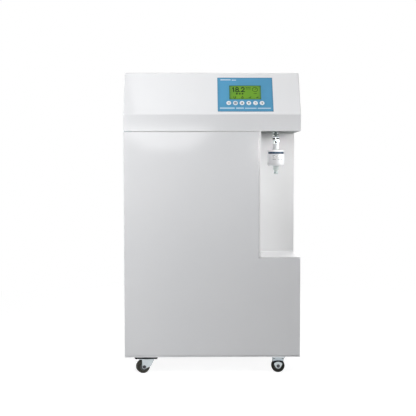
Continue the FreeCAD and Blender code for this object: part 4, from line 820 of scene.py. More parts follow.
def capsuleOutlet(look):
    # ribbed stem over a stepped spout whose mouth flares like a bell
    foot, outlet, mouth = look.foot, look.outlet, look.mouth
    rib = (foot - outlet) / 5
    profile = soften([
        (0, foot), (10.5, foot), (10.5, foot - rib), (8.8, foot - rib - 0.3),
        (8.8, foot - 2 * rib + 0.3), (10.2, foot - 2 * rib), (10.2, foot - 3 * rib),
        (8.6, foot - 3 * rib - 0.3), (8.6, foot - 4 * rib + 0.3), (9.6, foot - 4 * rib),
        (9.6, outlet), (6.4, outlet), (6.4, mouth + 7.5), (7.5, mouth + 4.5),
        (7.5, mouth + 0.5), (7.0, mouth), (5.4, mouth), (4.6, mouth + 3.2), (4.6, mouth + 11),
        (0, mouth + 11)], 0.5, 4)
    return [lathe(profile, nozzlePlace, 96)]


def mouthDarkSpot(look):
    # a small dark disc set into the spout's bell: a painted dark spot standing in for the dark
    # refraction in the clear spout
    place = fromAxis(nozzle, look.ventTurn, look.ventFace, look.ventZ)
    rim = look.vent
    return [lathe(soften([(0, -0.8), (rim, -0.8), (rim, 0.5), (rim - 0.4, 0.9), (0, 1.0)], 0.2,
                         3), place, 40)]


def capsulePrint(look):
    # short plain dashes wrapped on the capsule: radius, angle and height are all given
    rows = [(748.8, 0.7, ((-0.50, -0.20), (0.02, 0.16))),
            (745.0, 0.6, ((-0.48, -0.32), (-0.14, 0.10), (0.36, 0.48))),
            (741.2, 0.6, ((-0.48, -0.24), (0.06, 0.36))),
            (736.4, 0.9, ((-0.50, -0.10), (0.10, 0.34), (0.42, 0.70)))]
    parts = []
    for height, half, spans in rows:
        for start, end in spans:
            angle = np.linspace(start, end, 8) - tau / 4
            edge = np.array([(0.0, -half), (0.12, -half), (0.12, half), (0.0, half)])
            r = look.radius - 0.2 + edge[None, :, 0]
            a = np.repeat(angle[:, None], 4, 1)
            local = np.stack([r * np.cos(a), r * np.sin(a),
                              height + np.repeat(edge[None, :, 1], 8, 0)], -1)
            ring = np.arange(4)
            parts.append((nozzlePlace.at(local), [gridFaces(8, 4), ring[None, ::-1],
                                                  ring[None] + 28]))
    return parts


makePiece("capsuleShell", capsuleShell(capsule), "milkyPlastic",
          "filter_capsule")
makePiece("capsuleRing", capsuleRing(capsule), "navyPlastic", "filter_band")
makePiece("capsuleOutlet", capsuleOutlet(capsule), "clearPlastic",
          "filter_outlet")
# the spout's dark spot is painted, in place of the clear spout's refraction
makePiece("mouthDarkSpot", mouthDarkSpot(capsule), "coreTube")
makePiece("capsulePrint", capsulePrint(capsule), "printGrey")
print("dispenser made")


# ---- control panel ----

slope = Place((0, -290.0, 887.0), (1, 0, 0), (0, 0.46277139, 0.88647766),
              (0, -0.88647766, 0.46277139))

readout = Look(x=(60.0, 166.0), y=(60.0, 113.6), pitch=0.95, half=0.46, low=0.58, high=0.64)


def strokesHit(cells, strokes, halfWidth):
    # 1 where a cell's centre is nearer than half a width to any stroke's straight pieces
    starts = np.concatenate([np.asarray(line, float)[:-1] for line in strokes])
    ends = np.concatenate([np.asarray(line, float)[1:] for line in strokes])
    span = ends - starts
    offset = cells[:, None] - starts[None]
    share = (offset * span).sum(-1) / np.maximum((span ** 2).sum(-1), 1e-9)
    nearest = starts + np.clip(share, 0, 1)[..., None] * span
    return np.linalg.norm(cells[:, None] - nearest, axis=-1).min(1) < halfWidth


def displayCells(look):
    across = np.arange(look.x[0], look.x[1], look.pitch)
    along = np.arange(look.y[0], look.y[1], look.pitch)
    return np.stack(np.meshgrid(across, along), -1).reshape(-1, 2)


def displayDots(look):
    # large figures one, eight, a point and two, and three round points below them
    cells = displayCells(look)
    figures = [[(70.6, 103.4), (74.2, 106.6), (74.2, 89.6)],
               arc(85.6, 102.4, 4.2, 4.3, 0, 360), arc(85.6, 93.6, 4.9, 4.6, 0, 360),
               [(93.6, 89.9), (94.6, 89.9)],
               arc(105.2, 101.8, 4.9, 5.0, 168, -38), [(109.2, 98.8), (100.4, 89.8)],
               [(99.8, 89.8), (111.2, 89.8)]]
    dots = [[(x, 81.4), (x + 0.2, 81.4)] for x in (84.5, 94.2, 104.2)]
    on = strokesHit(cells, figures, 1.85) | strokesHit(cells, dots, 3.0)
    return [blocks(cells[on], look.half, look.low, look.high, slope)]


def displaySigns(look):
    # unit dashes, a round gauge and four small icons
    cells = displayCells(look)
    signs = [[(115.6, 105.6), (119.6, 105.6)], [(122.0, 105.6), (125.6, 105.6)],
             [(128.4, 105.6), (131.6, 105.6)], [(116.4, 100.4), (123.4, 100.4)],
             [(126.4, 100.4), (130.4, 100.4)],
             arc(147.0, 98.4, 8.6, 8.6, 0, 360, 40), [(147.0, 98.4), (151.4, 102.6)],
             [(142.4, 82.6), (151.6, 82.6)],
             arc(77.0, 67.0, 3.0, 3.4, 180, 360), [(74.0, 67.0), (74.0, 70.6)],
             [(80.0, 67.0), (80.0, 70.6)],
             arc(103.5, 66.2, 3.0, 2.8, -200, 20), [(100.7, 67.4), (103.5, 71.4)],
             [(106.3, 67.4), (103.5, 71.4)],
             [(126.4, 66.8), (128.8, 64.6), (132.6, 70.2)],
             [(150.4, 64.6), (150.4, 66.4)], [(153.6, 64.6), (153.6, 68.2)],
             [(156.8, 64.6), (156.8, 70.2)]]
    return [blocks(cells[strokesHit(cells, signs, 1.0)], look.half, look.low, look.high,
                   slope)]


makePiece("displayFigures", displayDots(readout), "digitInk")
makePiece("displaySigns", displaySigns(readout), "faintInk")

filmPrint = Look(
    low=0.76, high=0.83,
    bright=[((29.3, 137.4), (64.0, 137.4), 1.5), ((68.5, 136.4), (83.0, 136.4), 1.1)],
    pale=[((26.0, 24.2), (76.0, 24.2), 2.9), ((81.0, 24.2), (107.0, 24.2), 2.9),
          ((111.0, 23.8), (150.0, 23.8), 2.3), ((154.0, 23.8), (199.0, 23.8), 2.3)])


def filmRules(look, tone):
    # plain rules on the film, each a straight stroke with its own half width
    return [strip(np.linspace(start, end, 5), bar(half, look.low, look.high), slope) for start,
            end, half in look[tone]]


makePiece("filmTopRules", filmRules(filmPrint, "bright"), "printWhite")
makePiece("filmLowRules", filmRules(filmPrint, "pale"), "printPale")

keys = Look(first=56.25, pitch=22.7, y=44.3, top=1.78, rise=0.05, half=0.5)


def keyIcon(number, look):
    # generic signs: power, list, up, down, return and drop, as strokes and filled outlines
    x, y = look.first + (number - 1) * look.pitch, look.y
    low, high, half = look.top, look.top + look.rise, look.half
    place = Place(slope.at([(x, y, 0)])[0], *slope.axes)
    strokes = {
        1: [arc(0, 0, 2.7, 2.7, 125, 415), [(0, 0.8), (0, 3.4)]],
        2: [[(-3.4, level), (3.4, level)] for level in (-1.5, 1.5)],
        5: [arc(0.4, 0, 2.4, 2.4, -110, 110)],
        6: [arc(0, -0.8, 2.2, 2.1, -200, 20)],
    }
    outlines = {
        3: [[(-3.7, -2.7), (3.7, -2.7), (0, 3.3)]],
        4: [[(-3.7, 2.5), (0, -3.5), (3.7, 2.5)]],
        5: [[(-3.4, 2.2), (-0.2, 0.4), (-0.2, 4.0)]],
        6: [[(-2.2, -0.2), (2.2, -0.2), (0, 3.4)], arc(0, -0.8, 1.2, 1.1, 0, 345, 16)],
    }
    parts = [strip(np.linspace(line[0], line[1], 3) if len(line) == 2 else line,
                   bar(half, low, high), place) for line in strokes.get(number, [])]
    return parts + [prism(line, low, high, place) for line in outlines.get(number, [])]


for number in range(1, 7):
    makePiece("keyIcon%d" % number, keyIcon(number, keys), "keyInk",
              body="control_key_%d" % number)
keyDisc = Place(slope.at([(keys.first + keys.pitch, keys.y, 0)])[0], *slope.axes)
makePiece("keyShade", [prism(arc(0, 0, 5.6, 5.6, 0, 352, 45), keys.top - 0.01,
                             keys.top + 0.035, keyDisc)], "keyShade",
          body="control_key_2")
print("control panel made")


# ---- casters ----

wheel = Look(radius=23.0, half=10.0, rim=13.0, hub=8.0, hubHalf=11.7, axle=4.05, ribs=48,
             web=8.0)


def wheelPlace(x, y, angle):
    # origin at the wheel's middle, local z along its axle
    c, s = math.cos(math.radians(angle)), math.sin(math.radians(angle))
    return Place((x, y, wheel.radius), (c, s, 0), (0, 0, 1), (s, -c, 0))


def tyre(look, place):
    # rounded tread with two grooves and fine cross ribs, ringed side walls
    radius, half, rim = look.radius, look.half, look.rim
    side = [(rim, 0.92 * half), (rim + 1.4, half), (rim + 4.2, half), (rim + 4.8, half - 0.6),
            (rim + 5.6, half - 0.6), (rim + 6.2, half), (radius - 2.2, half),
            (radius - 0.7, half - 0.8), (radius, half - 2.6), (radius, 4.4),
            (radius - 0.8, 4.0), (radius - 0.8, 3.2), (radius, 2.8)]
    profile = side + [(r, -h) for r, h in side[::-1]]

    def ripple(a, r, h):
        rib = np.clip(1.6 * np.cos(look.ribs * a), 0, 1) * 0.5
        outer = (r > radius - 0.2) & (np.abs(h) > 4.6)
        return np.where(outer, r - rib, r), h
    return [lathe(soften(profile, 0.3, 3, closed=True), place, 288, ripple, loop=True)]


def wheelCore(look, place):
    # rim, dished web with five shallow pockets, and hub
    rim, hub, web, ends = look.rim - 0.02, look.hub, look.web, look.hubHalf
    side = [(look.axle, ends), (hub - 2.4, ends), (hub - 1.6, ends - 0.8), (hub, web + 0.6),
            (hub + 0.6, web), (hub + 1.6, web), (hub + 2.6, web), (rim - 1.6, web),
            (rim - 1.0, 9.0), (rim, 9.0)]
    profile = side + [(r, -h) for r, h in side[::-1]]

    def ripple(a, r, h):
        pocket = np.clip(2.2 * np.cos(5 * a) + 0.6, 0, 1)
        inside = (r > hub + 0.5) & (r < rim - 1.5) & (np.abs(h) > 5)
        return r, np.where(inside, h - np.sign(h) * 1.2 * pocket, h)
    return [lathe(soften(profile, 0.25, 3, closed=True), place, 160, ripple, loop=True)]


def axleBolt(place):
    # hexagon head with a washer face, shank, and a nut with its thread end
    half, rim = 14.5, 6.0
    profile = soften([
        (0, -half - 4.0), (rim - 0.9, -half - 4.0), (rim, -half - 3.4), (rim, -half - 0.8),
        (rim, -half - 0.7), (rim, -half), (4.0, -half), (4.0, half), (rim, half),
        (rim, half + 0.7), (rim - 0.1, half + 0.8), (rim - 0.1, half + 3.4),
        (rim - 1.0, half + 4.0), (3.2, half + 4.0), (2.8, half + 3.4), (0, half + 3.4)], 0.2,
        3)

    def ripple(a, r, h):
        head, _ = hexagon(-half - 4.2, -half - 0.75, 3.4)(a, r, h)
        nut, _ = hexagon(half + 0.75, half + 4.2, 3.4)(a, r, h)
        return np.minimum(head, nut), h
    return [lathe(profile, place, 72, ripple)]


swivels = {"front": Look(x=-227.5, y=-256.0, angle=203.0),
           "rear": Look(x=-227.5, y=236.0, angle=158.0)}
fixedWheels = {"front": Look(x=227.5, y=-256.0), "rear": Look(x=227.5, y=236.0)}
trail = 13.0


def addWheel(name, place, body, stands):
    makePiece(name + "Tyre", tyre(wheel, place), "tyreRubber", stands, body=body)
    makePiece(name + "Core", wheelCore(wheel, place), "corePlastic", body=body)


finishes["corePlastic"] = moulded(Finish("corePlastic"), (0.13, 0.14, 0.14),
                                  (0.07, 0.08, 0.08), 90.0, 900.0, 0.4, 30)
for end, spot in swivels.items():
    turn = math.radians(spot.angle)
    place = wheelPlace(spot.x + trail * math.cos(turn), spot.y + trail * math.sin(turn),
                       spot.angle)
    addWheel(end + "Swivel", place, end + "_swivel_wheel", "swivel_wheel_" + end)
    makePiece(end + "SwivelAxle", axleBolt(place), "darkSteel",
              "swivel_axle_" + end, body=end + "_swivel")
fixedAxles = []
for end, spot in fixedWheels.items():
    place = wheelPlace(spot.x, spot.y, 0.0)
    addWheel(end + "Fixed", place, end + "_rigid_wheel", "rigid_wheel_" + end)
    fixedAxles += axleBolt(place)
makePiece("fixedAxles", fixedAxles, "darkSteel", "rigid_axles")

plateBolt = Look(head=5.2, headHeight=3.3, shank=3.0, plate=54.0, top=61.0, nut=2.0)


def casterBolts(look):
    # a flanged hexagon head under each plate hole, shank, and a flat clinch nut above
    low = look.plate - look.headHeight
    head = look.head
    profile = soften([
        (0, low), (head - 1.9, low), (head - 1.0, low + 0.6), (head - 1.0, look.plate - 1.0),
        (head, look.plate - 0.7), (head, look.plate), (look.shank, look.plate),
        (look.shank, look.top), (head, look.top), (head, look.top + look.nut),
        (0, look.top + look.nut)], 0.2, 3)
    parts = []
    spots = [(spot.x, spot.y, 33.0, 20.0) for spot in swivels.values()]
    spots += [(spot.x, spot.y, 15.0, 22.0) for spot in fixedWheels.values()]
    for x, y, halfX, halfY in spots:
        for sideX in (-halfX, halfX):
            for sideY in (-halfY, halfY):
                parts.append(lathe(profile, Place((x + sideX, y + sideY, 0)), 48,
                                   hexagon(low - 0.1, look.plate - 0.95, 2.0)))
    return parts


makePiece("casterBolts", casterBolts(plateBolt), "blackPaint", "caster_bolts")

plateRim = Look(halfX=39.0, halfY=28.0, thick=0.7, low=52.8, high=54.2)


def plateRims(look):
    # a thin turned-down rim along the edge of each swivel plate
    halfX, halfY = look.halfX - look.thick / 2, look.halfY - look.thick / 2
    outline = soften([(-halfX, -halfY), (halfX, -halfY), (halfX, halfY), (-halfX, halfY)], 3.0,
                     5, closed=True)
    return [strip(outline, bar(look.thick / 2, look.low, look.high),
                  Place((spot.x, spot.y, 0)), closed=True) for spot in swivels.values()]


makePiece("plateRims", plateRims(plateRim), "blackPaint")

skirt = Look(top=54.0, halfTop=20.0, halfLow=18.2, low=40.0, rise=3.2, face=14.55, thick=0.7)
# a black arc across each fixed fork's face under the skirt: painted shade where the skirt meets
# the leg
creaseShade = Look(half=17.5, low=29.4, rise=8.6, thick=1.0)
legHalf = [(39.3, 11.5), (31.5, 14.0), (27.5, 13.2), (18.5, 8.2), (14.9, 3.6)]  # height, half


def archEdge(half, low, rise):
    # z = low + rise (1 - u^2) for u from -1 to 1
    u = np.linspace(-1, 1, 25)
    return np.stack([u * half, low + rise * (1 - u ** 2)], -1)


def forkPlates(outline, thick):
    # the same flat plate on both faces of each fixed fork
    parts = []
    for spot in fixedWheels.values():
        for side in (-1, 1):
            place = Place((spot.x, spot.y + side * skirt.face, 0), (1, 0, 0), (0, 0, 1),
                          (0, side, 0))
            parts.append(prism(outline, 0, thick, place))
    return parts


skirtEdge = archEdge(skirt.halfLow, skirt.low, skirt.rise)
skirtOutline = np.concatenate([skirtEdge, [(skirt.halfTop, skirt.top),
                                           (-skirt.halfTop, skirt.top)]])
creaseShadeOutline = np.concatenate([archEdge(creaseShade.half, creaseShade.low, creaseShade.rise),
                               archEdge(creaseShade.half, skirt.low, skirt.rise)[::-1]])
legEdge = [(half, z) for z, half in legHalf]
legOutline = soften(legEdge + [(-x, z) for x, z in legEdge[::-1]], 3.0, 5, closed=True)
# the skirts take the darker zinc copy as painted shade
makePiece("forkSkirts", forkPlates(skirtOutline, skirt.thick), "zincPaintedShade")
makePiece("forkLegs", forkPlates(legOutline, skirt.thick * 0.8), "zincPlate")
# black arcs on the fixed forks: painted shade
makePiece("forkCreaseShades", forkPlates(creaseShadeOutline, creaseShade.thick), "mattBlack")
print("casters made")


# ---- back of the cabinet ----

rear = Look(
    y=270.0, screwX=291.0, screwZ=(93.5, 331.16667, 568.83333, 806.5), louvreX=(-120.0, 120.0),
    louvreZ=520.0, pitch=14.0, rows=8, halfLength=47.0, rise=6.6, out=3.4, wall=0.8)


def rearScrews(look):
    # domed head, its cross recess cut where the smaller of |x| and |y| is small, and shank
    parts = []
    head = [(r, 2.2 - 1.5 * (r / 4.0) ** 2.4) for r in np.linspace(0, 3.9, 16)]
    profile = head + [(4.0, 0.35), (4.0, 0.0), (1.9, 0.0), (1.9, -4.2), (1.5, -4.5), (0, -4.5)]

    def ripple(a, r, h):
        arm = np.minimum(np.abs(r * np.cos(a)), np.abs(r * np.sin(a)))
        cut = 1.1 * np.exp(-(arm / 0.5) ** 4) * np.exp(-(r / 2.2) ** 8)
        return r, np.where(h > 0.6, h - cut, h)
    for x in (-look.screwX, look.screwX):
        for z in look.screwZ:
            place = alongY(x, look.y, z, -1)
            parts.append(lathe(profile, place, 64, ripple))
    return parts


def louvreHoods(look):
    # a pressed hood over each slot: out = D sin s, down = H (1 - cos s), both fading to
    # nothing at the two ends as (1 - u^8)
    u = np.linspace(-1, 1, 41)
    fade = np.sqrt(np.clip(1 - u ** 8, 0, 1))
    s = np.linspace(0, tau / 4, 9)
    outer = np.stack([look.out * np.sin(s), -look.rise * (1 - np.cos(s))], -1)
    inner = np.stack([(look.out - look.wall) * np.sin(s),
                      -look.wall - (look.rise - look.wall) * (1 - np.cos(s))], -1)
    section = np.concatenate([outer, inner[::-1]])
    parts = []
    for x in look.louvreX:
        for row in range(look.rows):
            z = look.louvreZ + row * look.pitch + look.rise
            out = 0.02 + fade[:, None] * section[None, :, 0]
            local = np.stack([np.repeat((x + u * look.halfLength)[:, None], len(section), 1),
                              look.y + out, z + np.repeat(section[None, :, 1], len(u), 0)], -1)
            ring = np.arange(len(section))
            faces = [gridFaces(len(u), len(section)), ring[None, ::-1],
                     ring[None] + (len(u) - 1) * len(section)]
            parts.append((local.reshape(-1, 3), faces))
    return parts


makePiece("rearScrews", rearScrews(rear), "zincPlate", "rear_panel_screws",
          crease=40)
makePiece("louvreHoods", louvreHoods(rear), "whiteCoat")

rockerLook = Look(x=-182.5, y=268.0, z=119.5, front=4.6, half=10.0, tilt=8.0)


def rockerMarks(look):
    # plain I and O on the rocker's two faces, worked out from its tilt
    tilt = math.radians(look.tilt)
    c, s = math.cos(tilt), math.sin(tilt)
    ridge = (look.front * c, look.front * s)
    parts = []
    for side, line in ((1, [(0, -2.2), (0, 2.2)]), (-1, arc(0, 0, 1.9, 2.2, 0, 348, 30))):
        shoulder = look.front - look.half * math.tan(tilt)
        far = (shoulder * c - side * look.half * s, shoulder * s + side * look.half * c)
        run = np.array([far[0] - ridge[0], far[1] - ridge[1]])
        run /= np.linalg.norm(run) * side
        middle = (np.array(ridge) + np.array(far)) / 2
        place = Place((look.x, look.y + middle[0], look.z + middle[1]), (-1, 0, 0),
                      (0, run[0], run[1]), (0, run[1], -run[0]))
        path = np.linspace(line[0], line[1], 3) if side > 0 else line
        parts.append(strip(path, bar(0.35, -0.02, 0.05), place, closed=side < 0))
    return parts


makePiece("rockerMarks", rockerMarks(rockerLook), "printWhite", body="rocker")
print("back made")


# ---- behind the door ----

doorSeal = Look(y=-272.0, half=3.0, thick=2.2, runs=[
    ((-289.5, 92.0), (-289.5, 800.0)), ((-262.0, 822.0), (150.0, 822.0)),
    ((152.5, 410.0), (152.5, 815.0)), ((293.5, 80.0), (293.5, 384.0)),
    ((-262.0, 70.5), (196.0, 70.5)), ((246.0, 392.0), (288.0, 392.0))])


def sealStrips(look):
    # bulb seal on the door's inner lip: a half-round section carried along straight runs
    angle = np.linspace(0, tau / 2, 10)
    section = np.stack([look.half * np.cos(angle), look.thick * np.sin(angle)], -1)
    place = alongY(0, look.y, 0)
    return [strip(np.linspace(start, end, 9), section, place) for start, end in look.runs]


makePiece("sealStrips", sealStrips(doorSeal), "sealRubber", body="door")

# pale strips in the gaps round the door: painted light over the gaps' shade
paintedGapLight = Look(front=0.7, strips=[  # lower left and upper right, depth
    ((-272.0, 829.35), (159.6, 831.5), 8.0), ((158.85, 404.0), (160.0, 828.6), 8.0),
    ((-299.4, 62.5), (299.4, 63.65), 3.0), ((160.5, 399.85), (299.4, 401.0), 3.0)])


def paintedGapLights(look):
    # a flat pale strip in each gap round the door, a little short of the door itself; it is
    # painted light that hides the gaps' shade
    place = alongY(0, -290.0 + look.front, 0)
    return [prism([(x0, z0), (x1, z0), (x1, z1), (x0, z1)], 0, depth, place) for (x0, z0),
            (x1, z1), depth in look.strips]


makePiece("paintedGapLights", paintedGapLights(paintedGapLight), "paintedGapPale")

bowls = Look(x=(-246.51, -160.53, -74.55), y=-136.0, top=765.5, radius=36.0, collar=40.0,
             collarHeight=28.0, length=262.0, wall=4.0)


def bowlShell(look, x):
    # ribbed collar over a hollow, slightly fluted bowl with a drain knob's flat
    top, low = look.top, look.top - look.length
    radius, inner = look.radius, look.radius - look.wall
    profile = soften([
        (0, low), (13, low), (15, low + 2), (22, low + 3), (radius - 4, low + 9),
        (radius - 0.4, low + 18), (radius, top - look.collarHeight - 4),
        (radius, top - look.collarHeight), (look.collar, top - look.collarHeight),
        (look.collar, top - look.collarHeight + 3), (look.collar, top - 3), (look.collar, top),
        (inner, top), (inner, low + 20), (inner - 6, low + 12), (12, low + 6), (0, low + 6)],
        1.2, 5)
    grip = knurl(36, 1.3, top - look.collarHeight + 2.2, top - 2.2, look.radius + 1)

    def ripple(a, r, h):
        r, h = grip(a, r, h)
        flute = 0.5 * np.clip(np.cos(8 * a), 0, 1)
        return np.where((r > inner + 2) & (r < radius + 0.1) & (h > low + 30)
                        & (h < top - look.collarHeight - 6), r - flute, r), h
    return lathe(profile, Place((x, look.y, 0)), 144, ripple)


def woundCartridge(look, x):
    # a wound filter: criss-cross yarn as two crossing waves on its radius, plain end caps
    low, high = look.top - look.length + 14, look.top - 2
    heights = np.linspace(low + 6, high - 6, 120)
    profile = np.concatenate([[(0, low), (26.5, low), (26.5, low + 5.8)],
                              np.stack([np.full(120, 27.0), heights], -1),
                              [(26.5, high - 5.8), (26.5, high), (0, high)]])

    def ripple(a, r, h):
        cross = np.sin(3 * a + h * 0.55) * np.sin(3 * a - h * 0.55)
        return np.where(r > 26.9, r - 0.6 + 0.6 * cross, r), h
    return lathe(profile, Place((x, look.y, 0)), 120, ripple)


for number, x in enumerate(bowls.x, 1):
    makePiece("bowlShell%d" % number, [bowlShell(bowls, x)], "bowlPlastic",
              "prefilter_bowl_%d" % number)
makePiece("woundCartridges", [woundCartridge(bowls, x) for x in bowls.x], "sedimentWound")

columns = Look(x=(58.02, 127.01), y=-130.0, top=767.5, length=310.0, radius=30.0, cap=32.5,
               capHeight=22.0, port=6.0, portLength=10.0, bore=3.3, socket=8.0)


def columnBody(look, x):
    # plain tube between two caps
    top, low = look.top, look.top - look.length
    profile = soften([(0, low + 4), (look.radius, low + 4), (look.radius, top - 4),
                      (0, top - 4)], 0.4)
    return lathe(profile, Place((x, look.y, 0)), 96)


def columnCaps(look, x):
    # a gripped cap on each end with its bored port
    top, low = look.top, look.top - look.length
    parts = []
    for level, turn in ((top, 1), (low, -1)):
        inner = [(look.radius + 0.02, -look.capHeight), (look.cap, -look.capHeight),
                 (look.cap, -look.capHeight + 2), (look.cap, -2.5), (look.cap - 1.0, -1.0),
                 (look.cap - 4, 0), (look.port + 3, 0), (look.port, 1.5),
                 (look.port, look.portLength), (look.bore, look.portLength),
                 (look.bore, look.portLength - look.socket),
                 (0, look.portLength - look.socket)]
        edge = [(0, -3.9), (look.radius + 0.02, -3.9)]
        profile = [(r, level + turn * h) for r, h in soften(edge + inner, 0.5)]
        middle = level - turn * look.capHeight / 2
        grip = knurl(48, 0.8, middle - 8, middle + 8, look.radius + 1.2)
        parts.append(lathe(profile, Place((x, look.y, 0)), 192, grip))
    return parts


makePiece("columnTubes", [columnBody(columns, x) for x in columns.x], "whitePlastic",
          "polishing_columns")
makePiece("columnCaps", sum([columnCaps(columns, x) for x in columns.x], []), "capPlastic")

vessel = Look(x=-156.98, y=-134.0, z=340.5, radius=36.0, length=260.04, cap=40.0,
              capLength=28.0, backX=(-259.0, -179.0), backY=-84.0, bore=3.3, socket=8.0)


def vesselBody(look):
    # long tube with two ribbed end caps, turned about a line along X
    place = alongX(look.x, look.y, look.z)
    half, capLength, cap = look.length / 2, look.capLength, look.cap
    end = [(0, half - 3), (22, half - 3), (24, half), (cap - 3, half), (cap, half - 3),
           (cap, half - capLength + 2), (cap, half - capLength),
           (look.radius, half - capLength)]
    profile = soften(end + [(r, -h) for r, h in end[::-1]], 0.8)

    def ripple(a, r, h):
        rib = 1.1 * (0.5 + 0.5 * np.cos(40 * a)) ** 0.8
        ends = ((r > look.radius + 2) & (np.abs(h) < half - 4)
                & (np.abs(h) > half - capLength + 1))
        keep = np.cos(4 * a) > 0.93
        return np.where(ends & ~keep, r - rib, r), h
    return [lathe(profile, place, 240, ripple)]


def boredStub(outer, bore, depth, length, place):
    # a short round stub from its root to its mouth, bored from the mouth
    return lathe(soften([(0, 0), (outer, 0), (outer, length - 0.6), (outer - 0.6, length),
                         (bore, length), (bore, length - depth), (0, length - depth)], 0.2, 3),
                 place, 48)


def vesselStubs(look):
    # bored bosses from the vessel towards the plate behind it
    return [boredStub(6.0, look.bore, look.socket, 30.0,
                      alongY(x, look.backY - 30.0, look.z, -1)) for x in look.backX]


makePiece("vesselBody", vesselBody(vessel) + vesselStubs(vessel), "whitePlastic",
          "ro_vessel")

motor = Look(start=-267.0, length=112.0, y=-135.0, z=119.0, radius=36.0,
             footX=(-239.0, -183.0), footY=(-165.0, -105.0), footZ=61.0, fins=40)


def motorBody(look):
    # finned shell: the radius steps in between fins, with plain end bells, about X
    place = alongX(look.start, look.y, look.z)
    length, radius = look.length, look.radius
    profile = soften([
        (0, 0), (12, 0), (14, 1.5), (radius - 6, 1.5), (radius - 1, 6), (radius - 1, 18),
        (radius, 20), (radius, length - 18), (radius - 1, length - 16), (radius - 1, length),
        (0, length)], 1.0, 4)

    def ripple(a, r, h):
        fin = 3.0 * np.clip(0.5 - 1.4 * np.cos(look.fins * a), 0, 1)
        return np.where((h > 18.5) & (h < length - 16.5) & (r > radius - 1.5), r - fin, r), h
    return [lathe(profile, place, 320, ripple)]


def motorFoot(look):
    # a folded foot with splayed sides, pushed along X
    y0, y1 = look.footY
    z0, z1 = look.footZ, look.z - 22
    outline = soften([(y0, z0), (y1, z0), (y1, z0 + 4), (y1 - 14, z1), (y0 + 14, z1),
                      (y0, z0 + 4)], 1.0, 4, closed=True)
    place = alongX(0, 0, 0)
    return [prism(outline, look.footX[0], look.footX[1], place)]


makePiece("motorBody", motorBody(motor) + motorFoot(motor), "motorPaint",
          "pump_motor")

reactor = Look(x=238.0, y=-130.0, z=67.0, radius=26.0, length=272.0, cap=28.0, capHeight=18.0,
               lift=6.0, inset=30.0, reach=36.0, bore=3.3, socket=8.0)


def reactorBody(look):
    # drawn tube with rolled beads under its caps, a foot, and two side nipples
    place = Place((look.x, look.y, look.z))
    length, radius, cap, high = look.length, look.radius, look.cap, look.capHeight
    profile = soften([
        (0, -look.lift), (radius, -look.lift), (radius, -0.4), (cap, 0), (cap, high - 1),
        (cap - 0.8, high), (radius, high), (radius, high + 5), (radius + 0.8, high + 6.5),
        (radius, high + 8), (radius, length - high - 8), (radius + 0.8, length - high - 6.5),
        (radius, length - high - 5), (radius, length - high), (cap - 0.8, length - high),
        (cap, length - high + 1), (cap, length - 2), (cap - 2, length), (9, length),
        (8, length - 1.5), (0, length - 1.5)], 0.5)
    parts = [lathe(profile, place, 96)]
    for height in (length - look.inset, look.inset):
        root = Place((look.x - radius + 2.0, look.y, look.z + height), (0, 0, 1), (0, 1, 0),
                     (-1, 0, 0))
        parts.append(boredStub(6.0, look.bore, look.socket, look.reach - radius + 2.0, root))
    return parts


makePiece("reactorBody", reactorBody(reactor), "stainless", "uv_reactor")

tank = Look(x=95.02, y=93.0, z=61.0, radius=112.0, foot=70.0, footHeight=18.0, height=300.0,
            dome=60.0, neck=14.0, neckHeight=14.0, bore=3.3, socket=8.0)


def tankBody(look):
    # r = R (1 - t^2.4)^(1/2.4) over each dome, a groove round the middle, foot and neck
    low, high = look.footHeight, look.footHeight + look.height
    t = np.linspace(0.985, 0, 22)
    curve = look.radius * (1 - t ** 2.4) ** (1 / 2.4)
    below = np.stack([curve, low + look.dome * (1 - t)], -1)
    above = np.stack([curve, high - look.dome * (1 - t)], -1)[::-1]
    middle = (low + high) / 2
    seam = [(look.radius, middle - 3), (look.radius - 0.8, middle - 1.6),
            (look.radius - 0.8, middle + 1.6), (look.radius, middle + 3)]
    top = high + look.neckHeight
    neck = [(look.neck, high - 0.5), (look.neck, top), (look.bore, top),
            (look.bore, top - look.socket), (0, top - look.socket)]
    profile = np.concatenate([[(0, 0), (look.foot, 0), (look.foot, low)],
                              below[below[:, 0] > look.foot], seam,
                              above[above[:, 0] > look.neck + 2], neck])
    return [lathe(profile, Place((look.x, look.y, look.z)), 128)]


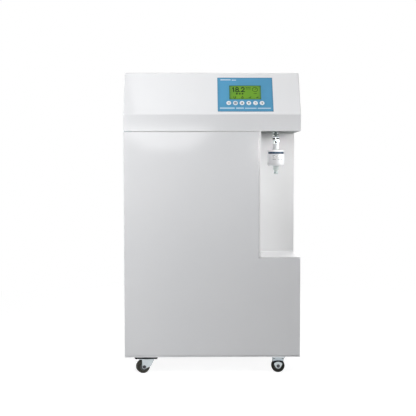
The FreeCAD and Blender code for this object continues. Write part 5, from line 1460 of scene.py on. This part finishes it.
makePiece("tankBody", tankBody(tank), "tankPaint", "pressure_tank")

collars = Look(outer=5.0, bore=3.35, length=2.6, spots=[
    ((58.02, -130.0, 777.5), (0, 0, 1)), ((127.01, -130.0, 777.5), (0, 0, 1)),
    ((58.02, -130.0, 447.5), (0, 0, -1)), ((127.01, -130.0, 447.5), (0, 0, -1)),
    ((202.0, -130.0, 309.0), (-1, 0, 0)), ((202.0, -130.0, 97.0), (-1, 0, 0)),
    ((-40.96, -134.0, 380.5), (0, 0, 1)), ((-40.96, -134.0, 300.5), (0, 0, -1)),
    ((-120.5, -135.0, 158.0), (0, 0, 1)), ((-143.5, -135.0, 158.0), (0, 0, 1)),
    ((-21.56, -97.0, 765.5), (0, 0, -1)), ((206.0, -190.0, 854.0), (-1, 0, 0)),
    ((95.02, 93.0, 393.0), (0, 0, 1)), ((81.02, 93.0, 386.0), (-1, 0, 0))])


def tubeCollars(look):
    # a release ring round the tube at each push-in port
    profile = soften([
        (look.bore, 0), (look.outer, 0), (look.outer, 1.0), (look.outer - 0.9, 1.5),
        (look.outer - 0.9, look.length), (look.bore, look.length)], 0.2, 3, closed=True)
    parts = []
    for origin, out in look.spots:
        side = np.roll(out, 1)
        parts.append(lathe(profile, Place(origin, side, np.cross(out, side), out), 48,
                           loop=True))
    return parts


makePiece("tubeCollars", tubeCollars(collars), "capPlastic")

headScrews = Look(y=-135.0, z=119.0, x=-109.0, reach=32.0, radius=4.0)


def pumpHeadScrews(look):
    # four socket screws on the pump head's outer face
    profile = soften([(0, 0.2), (1.6, 0.2), (1.7, 2.0), (look.radius - 0.5, 2.0),
                      (look.radius, 1.5), (look.radius, 0), (0, 0)][::-1], 0.2, 3)
    parts = []
    reach = look.reach
    for sideY in (-reach, reach):
        for sideZ in (-reach, reach):
            place = alongX(look.x, look.y + sideY, look.z + sideZ)
            parts.append(lathe(profile, place, 48))
    return parts


makePiece("pumpHeadScrews", pumpHeadScrews(headScrews), "zincPlate")
print("inside made")
